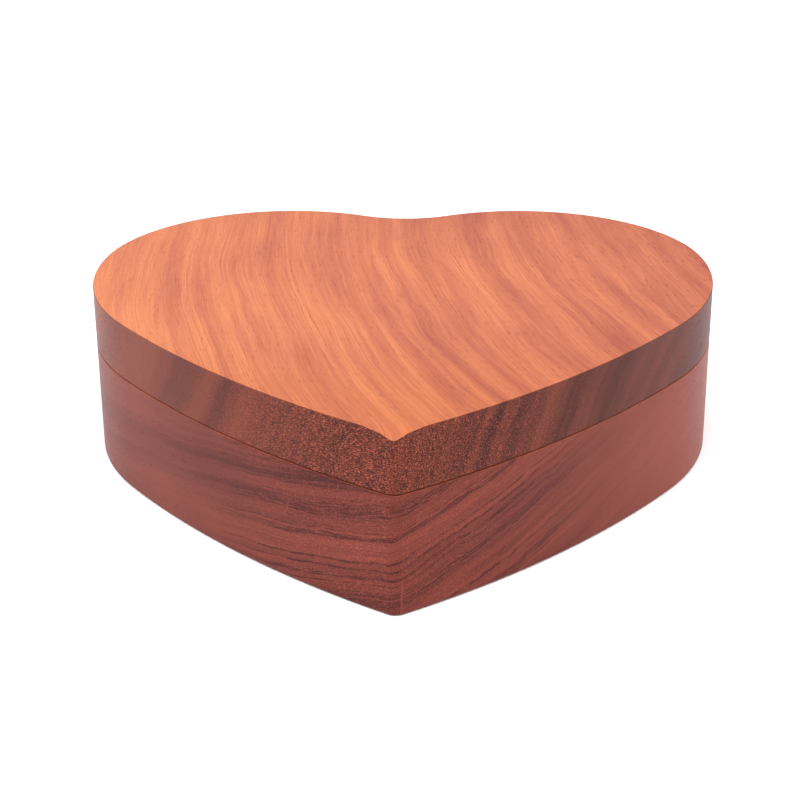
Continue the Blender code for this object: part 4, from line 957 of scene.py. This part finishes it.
CROWN_MODULE, CROWN_TEETH, CYLINDER_PINION_TEETH = 0.6 * MM, 36, 16
CROWN_FACE = 1.6 * MM  # the length of its teeth, across the ring
GREAT_MODULE, CYLINDER_GEAR_TEETH, PINION_TEETH = 0.4 * MM, 32, 8
TRAIN_MODULE, FIRST_WHEEL_TEETH = 0.3 * MM, 30
WORM_MODULE, WORM_WHEEL_TEETH = 0.25 * MM, 24
WORM_PITCH_RADIUS = 1.2 * MM
FIRST_ARBOR_ANGLE = radians(15)
SECOND_ARBOR_ANGLE = radians(-65)
SHAFT_RADIUS, ARBOR_RADIUS = 0.8 * MM, 0.4 * MM


def crown_ring(bottom_z, pitch_z):
    """The spring barrel's ring of face teeth, pointing up, with a tooth gap at -X."""
    pitch_radius = CROWN_MODULE * CROWN_TEETH / 2
    inner, outer = pitch_radius - CROWN_FACE / 2, pitch_radius + CROWN_FACE / 2
    rise, depth = 0.75 * CROWN_MODULE, 1.1 * CROWN_MODULE
    slope = tan(PRESSURE_ANGLE)
    half_tooth = 0.19 * pi * CROWN_MODULE
    half_top = (half_tooth - rise * slope) / pitch_radius
    half_root = (half_tooth + depth * slope) / pitch_radius
    top, foot = pitch_z + rise, pitch_z - depth
    stations = [(-half_root, foot), (-half_top, top), (0, top), (half_top, top), (half_root, foot)]
    sections = []
    for tooth in range(CROWN_TEETH):
        middle = pi + (tooth + 0.5) * 2 * pi / CROWN_TEETH
        for offset, z in stations:
            corners = ((inner, bottom_z), (outer, bottom_z), (outer, z), (inner, z))
            sections.append(upright(corners, middle + offset))
    return skin(sections, closed=True)


def worm_thread(core, tip, low, high, steps=28):
    """A right-handed thread with a gap facing -Y at mid height. It starts inside the core."""
    lead = pi * WORM_MODULE
    middle, turns = (low + high) / 2, (high - low) / lead
    inside, half_root, half_tip = core - 0.15 * MM, 0.15 * MM, 0.07 * MM
    profile = ((inside, -half_root), (core, -half_root), (tip, -half_tip), (tip, half_tip))
    profile += ((core, half_root), (inside, half_root))
    sections = []
    for i in range(int(turns * steps) + 1):
        turn = 2 * pi * (i / steps - turns / 2) - pi / 2
        z = middle + lead * (i / steps - turns / 2) + lead / 2
        sections.append(upright([(radius, z + rise) for radius, rise in profile], turn))
    return skin(sections)


# ---------- the movement
KEY_END_RADIUS, RATCHET_SEAT_RADIUS = 1.5 * MM, 1.2 * MM  # of the winding arbor


def build_spring_barrel():
    low, high = levels_of("spring_barrel")
    rim, wall, bore, floor, ease = 9.6 * MM, 0.7 * MM, 2.0 * MM, 0.8 * MM, 0.12 * MM
    flange = CROWN_MODULE * CROWN_TEETH / 2 - CROWN_FACE / 2 + 0.3 * MM
    inside = rim - wall
    cup = [(bore, low), (flange, low), (flange, low + floor), (rim, low + floor + 0.2 * MM)]
    cup += [(rim, high - ease), (rim - ease, high), (inside + ease, high), (inside, high - ease)]
    cup += [(inside, low + floor), (bore, low + floor)]
    pitch_z = centre_of("pinned_cylinder").z - MOVEMENT.z - CROWN_MODULE * CYLINDER_PINION_TEETH / 2
    barrel = joined(turned(cup, 128), crown_ring(low, pitch_z))
    stand_in("spring_barrel", moved(barrel, MOVEMENT), BARREL_BRASS)


def build_mainspring():
    turns, steps, thickness, inner, outer = 5.5, 56, 0.35 * MM, 2.5 * MM, 8.3 * MM
    low, high = levels_of("mainspring")
    count = int(turns * steps)
    sections = []
    for i in range(count + 1):
        near = inner + (outer - inner) * i / count
        far = near + thickness
        corners = ((near, low), (far, low), (far, high), (near, high))
        sections.append(upright(corners, 2 * pi * i / steps))
    stand_in("mainspring", moved(skin(sections), MOVEMENT), SPRING_STEEL)


def build_winding_arbor():
    """Threaded for the key below, thick in its bearing, with a thin seat for the ratchet on top."""
    low, high = levels_of("winding_arbor")
    end, bearing, spring, seat = KEY_END_RADIUS, 2.0 * MM, 1.8 * MM, RATCHET_SEAT_RADIUS
    thread_top, bearing_low, bearing_high, seat_low = -3.6 * MM, -3.4 * MM, 3.0 * MM, 14.8 * MM
    ease = 0.3 * MM
    profile = [(0, low), (end - ease, low)] + ringed(end, thread_top, low, 0.5 * MM)[::-1]
    profile += [(end, bearing_low), (bearing, bearing_low), (bearing, bearing_high)]
    profile += [(spring, bearing_high), (spring, seat_low), (seat, seat_low)]
    profile += [(seat, high - ease), (seat - ease, high), (0, high)]
    stand_in("winding_arbor", moved(turned(profile, 64), MOVEMENT), TURNED_STEEL)


def build_ratchet_wheel():
    tip, root, teeth = 4.2 * MM, 3.3 * MM, 12
    # Each tooth's outline, as (radius, share of a tooth's turn)
    tooth_shape = ((tip, 0), (root, 0.08), (root + 0.18 * (tip - root), 0.25), ((tip + root) / 2, 0.55))
    outline = []
    for tooth in range(teeth):
        for radius, share in tooth_shape:
            angle = 2 * pi * (tooth + share) / teeth
            outline.append((radius * cos(angle), radius * sin(angle)))
    low, high = levels_of("ratchet_wheel")
    bore = rod(RATCHET_SEAT_RADIUS + 0.1 * MM, low - MM, high + MM)
    wheel = cut(prism(outline, low, high), bore)
    stand_in("ratchet_wheel", moved(wheel, MOVEMENT), TURNED_STEEL, 0.05 * MM)


def build_winding_key():
    """A hub bored for the arbor's threaded end, with a flat round wing at each side, and an eye in each
    wing.
    """
    top, bottom, hub, bore_end = -3.7 * MM, -11.7 * MM, 3.0 * MM, -9.6 * MM
    wing_x, wing_radius, half, web = 9.4 * MM, 3.7 * MM, 1.0 * MM, 2.2 * MM
    wing_z = bottom + wing_radius
    plate = block((-wing_x, wing_x), (-half, half), (wing_z - web, wing_z + web))
    key = joined(rod(hub, bottom + 1.2 * MM, top, 64), plate)
    for side in (-1, 1):
        disc = rod(wing_radius, -half, half, 64)
        key = joined(key, moved(disc, (side * wing_x, 0, wing_z), ALONG_Y))
    for side in (-1, 1):
        eye = rod(1.5 * MM, -CLEAR, CLEAR, 40)
        key = cut(key, moved(eye, (side * (wing_x + 0.3 * MM), 0, wing_z), ALONG_Y))
    key = cut(key, rod(KEY_END_RADIUS + 0.1 * MM, bore_end, MM, 48))
    stand_in("winding_key", moved(key, MOVEMENT), KEY_GILT, 0.18 * MM)


NOTES, PINS_PER_NOTE, STEPS_PER_TURN, PIN_SIDES = 18, 12, 60, 6
CYLINDER_RADIUS, PIN_REACH = 6.5 * MM, 6.9 * MM
WHEEL_BORE = SHAFT_RADIUS + 0.1 * MM


def build_cylinder():
    middle, half = centre_of("pinned_cylinder"), half_width("pinned_cylinder")
    radius, hub, dish, ease = CYLINDER_RADIUS, 2.4 * MM, 1.0 * MM, 0.12 * MM
    rim = radius - 0.6 * MM
    right = [(radius, half - ease), (radius - ease, half), (rim, half), (rim, half - dish)]
    right += [(hub, half - dish), (hub, half), (WHEEL_BORE, half)]
    profile = [(r, -z) for r, z in reversed(right)] + right
    stand_in("pinned_cylinder", moved(turned(profile, 128), middle, ALONG_X), CYLINDER_BRASS)
    build_pins(middle)
    turned_rod("cylinder_shaft", SHAFT_RADIUS)
    outline = gear_outline(CYLINDER_GEAR_TEETH, GREAT_MODULE, phase=facing(FIRST_ARBOR_ANGLE))
    wheel("cylinder_gear", outline, middle, WHEEL_BORE, NYLON)
    outline = gear_outline(CYLINDER_PINION_TEETH, CROWN_MODULE, thickness=0.36, phase=facing(-pi / 2))
    wheel("cylinder_pinion", outline, middle, WHEEL_BORE, NYLON)


def build_pins(axis):
    """Each note's pins stand at random steps round the cylinder, in line with its tooth."""
    comb_left, comb_right = span("comb", 0)
    pitch = (comb_right - comb_left) / NOTES
    foot, tip = (0.14 * MM, CYLINDER_RADIUS - 0.2 * MM), (0.10 * MM, PIN_REACH)
    chooser = Random(18)
    points, faces = [], []
    for note in range(NOTES):
        x = comb_right - (note + 0.5) * pitch
        for step in chooser.sample(range(0, STEPS_PER_TURN, 2), PINS_PER_NOTE):
            angle = 2 * pi * (step + chooser.choice((0, 1))) / STEPS_PER_TURN
            out = Vector((0, cos(angle), sin(angle)))
            beside = Vector((0, -sin(angle), cos(angle)))
            low = range(len(points), len(points) + PIN_SIDES)
            high = range(low.stop, low.stop + PIN_SIDES)
            for radius, reach in (foot, tip):
                for c, s in circle(radius, PIN_SIDES):
                    points.append(Vector((x + c, axis.y, axis.z)) + beside * s + out * reach)
            for i in range(PIN_SIDES):
                j = (i + 1) % PIN_SIDES
                faces.append([low[i], low[j], high[j], high[i]])
            faces += [list(low), list(high)]
    pins = link("cylinder_pins", mesh_of(points, faces), "cylinder")
    pins.data.materials.append(SCREW_STEEL)
    smooth(pins)


def turned_rod(node, radius):
    """A straight arbor along X with eased ends."""
    spot = centre_of(node)
    arbor = eased_rod(radius, *span(node, 0), 0.12 * MM)
    stand_in(node, moved(arbor, (0, *spot.yz), ALONG_X), TURNED_STEEL)


def wheel(node, outline, axis, bore, finish, twist=0.0):
    """A gear across X on the given axis, in the CAD node's place along it."""
    low, high = span(node, 0)
    spot = Vector(((low + high) / 2, axis.y, axis.z))
    mesh = spur_gear(outline, high - low, bore, twist)
    stand_in(node, moved(mesh, spot, ALONG_X), finish, 0.03 * MM)


def build_governor():
    """The two governor arbors with their wheels, and the worm with the fan."""
    bore = ARBOR_RADIUS + 0.05 * MM
    for node in ("first_governor_arbor", "second_governor_arbor"):
        turned_rod(node, ARBOR_RADIUS)
    first, second = centre_of("first_governor_arbor"), centre_of("second_governor_arbor")
    phase = facing(FIRST_ARBOR_ANGLE + pi) + pi / PINION_TEETH
    outline = gear_outline(PINION_TEETH, GREAT_MODULE, thickness=0.34, phase=phase)
    wheel("first_governor_pinion", outline, first, bore, GEAR_BRASS)
    outline = gear_outline(FIRST_WHEEL_TEETH, TRAIN_MODULE, phase=facing(SECOND_ARBOR_ANGLE))
    wheel("first_governor_wheel", outline, first, bore, GEAR_BRASS)
    phase = facing(SECOND_ARBOR_ANGLE + pi) + pi / PINION_TEETH
    outline = gear_outline(PINION_TEETH, TRAIN_MODULE, thickness=0.34, phase=phase)
    wheel("second_governor_pinion", outline, second, bore, GEAR_BRASS)
    slant = WORM_MODULE / 2 / WORM_PITCH_RADIUS / (WORM_MODULE * WORM_WHEEL_TEETH / 2)
    outline = gear_outline(WORM_WHEEL_TEETH, WORM_MODULE, thickness=0.32, tip=0.75, phase=facing(0))
    wheel("worm_wheel", outline, second, bore, NYLON, slant)

    worm = centre_of("governor_fan")
    place = (worm.x, worm.y, 0)
    low, high = second.z - 2.2 * MM, second.z + 2.2 * MM
    bottom, top = span("worm_shaft", 2)
    core, tip, pivot, neck = 0.85 * MM, WORM_PITCH_RADIUS + 0.2 * MM, 0.35 * MM, 0.5 * MM
    profile = [(0, bottom), (pivot, bottom), (pivot, low - 0.3 * MM), (core, low - 0.3 * MM)]
    profile += [(core, high + 0.6 * MM), (neck, high + 0.8 * MM), (neck, top - 0.9 * MM)]
    profile += [(pivot, top - 0.8 * MM), (pivot, top), (0, top)]
    mesh = joined(turned(profile, 48), worm_thread(core, tip, low, high))
    stand_in("worm_shaft", moved(mesh, place), TURNED_STEEL)
    low, high = span("governor_fan", 2)
    reach, half = half_width("governor_fan"), 0.15 * MM
    blades = block((-reach, reach), (-half, half), (low, high))
    fan = cut(joined(rod(MM, low, high), blades), rod(neck + 0.05 * MM, low - MM, high + MM))
    stand_in("governor_fan", moved(fan, place), GEAR_BRASS, 0.04 * MM)


def build_flat_parts():
    """Plates and levers whose CAD shape is right and only needs eased edges."""
    for node, finish, ease in (
        ("bedplate", BED_GILT, 0.15 * MM),
        ("barrel_bridge", BED_GILT, 0.12 * MM),
        ("governor_frame", BED_GILT, 0.08 * MM),
        ("comb", COMB_STEEL, 0.04 * MM),
        ("partition", INNER_WOOD, 0.30 * MM),
        ("click", TURNED_STEEL, 0.06 * MM),
        ("click_spring", SPRING_STEEL, 0.03 * MM),
        ("stop_lever", SPRING_STEEL, 0.06 * MM),
    ):
        stand_in(node, frame["nodes"][node].data, finish, ease)


place_camera()
build_studio()
LID_WOOD = wood(
    "lid_wood",
    flat=((0.535, 0.176, 0.077), (0.285, 0.070, 0.044)),
    side=((0.162, 0.035, 0.020), (0.044, 0.0090, 0.0085)),
    pith=(95.0, -10.0),
    pores=1.0,
    drifts_and_painted_light=(0.0030, 0.0017),
)
BASE_WOOD = wood(
    "base_wood",
    # Its flat faces, the rim with the seam's eased edge and the cavity floor, are kept darker than the
    # lid's as painted shade in the seam under the lid
    flat=((0.36, 0.105, 0.055), (0.23, 0.060, 0.040)),
    side=((0.215, 0.045, 0.030), (0.075, 0.0145, 0.0135)),
    pith=(-350.0, 1000.0),
    band=0.06,
    pores=0.3,
    lines=0.75,
    worn=0.7,
    drifts_and_painted_light=(-0.0045, 0),
    seed=7.3,
)
INNER_WOOD = wood(
    "inner_wood",
    flat=((0.50, 0.155, 0.072), (0.33, 0.095, 0.052)),
    side=((0.40, 0.115, 0.055), (0.25, 0.065, 0.038)),
    pith=(-250.0, 30.0),
    seed=3.1,
)
HINGE_BRASS = metal("hinge_brass", BRASS, 0.26, "x")
SCREW_BRASS = metal("screw_brass", BRASS, 0.24, "x", tarnish=0.1)
GEAR_BRASS = metal("gear_brass", BRASS, 0.24, "turned_x")
CYLINDER_BRASS = metal("cylinder_brass", BRASS, 0.22, "turned_x", tarnish=0.15)
BARREL_BRASS = metal("barrel_brass", BRASS, 0.24, "turned_z", tarnish=0.2)
BED_GILT = metal("bed_gilt", GILT, 0.34, "cast", tarnish=0.15, depth=0.6)
KEY_GILT = metal("key_gilt", GILT, 0.28, "cast", tarnish=0.3, depth=0.5)
SCREW_STEEL = metal("screw_steel", STEEL, 0.26, "y", tarnish=0.1)
TURNED_STEEL = metal("turned_steel", STEEL, 0.22, "turned_z", tarnish=0.1)
COMB_STEEL = metal("comb_steel", (0.50, 0.51, 0.53), 0.30, "y", tarnish=0.15)
SPRING_STEEL = metal("spring_steel", (0.26, 0.29, 0.36), 0.28, "x", tarnish=0.1)
NICKEL = metal("nickel", (0.66, 0.65, 0.62), 0.16, "cast", tarnish=0.1, depth=0.1)
NYLON = nylon("gear_nylon")
build_base()
build_lid()
build_screws()
build_hinges()
build_magnets()
build_flat_parts()
build_spring_barrel()
build_mainspring()
build_winding_arbor()
build_ratchet_wheel()
build_winding_key()
build_cylinder()
build_governor()
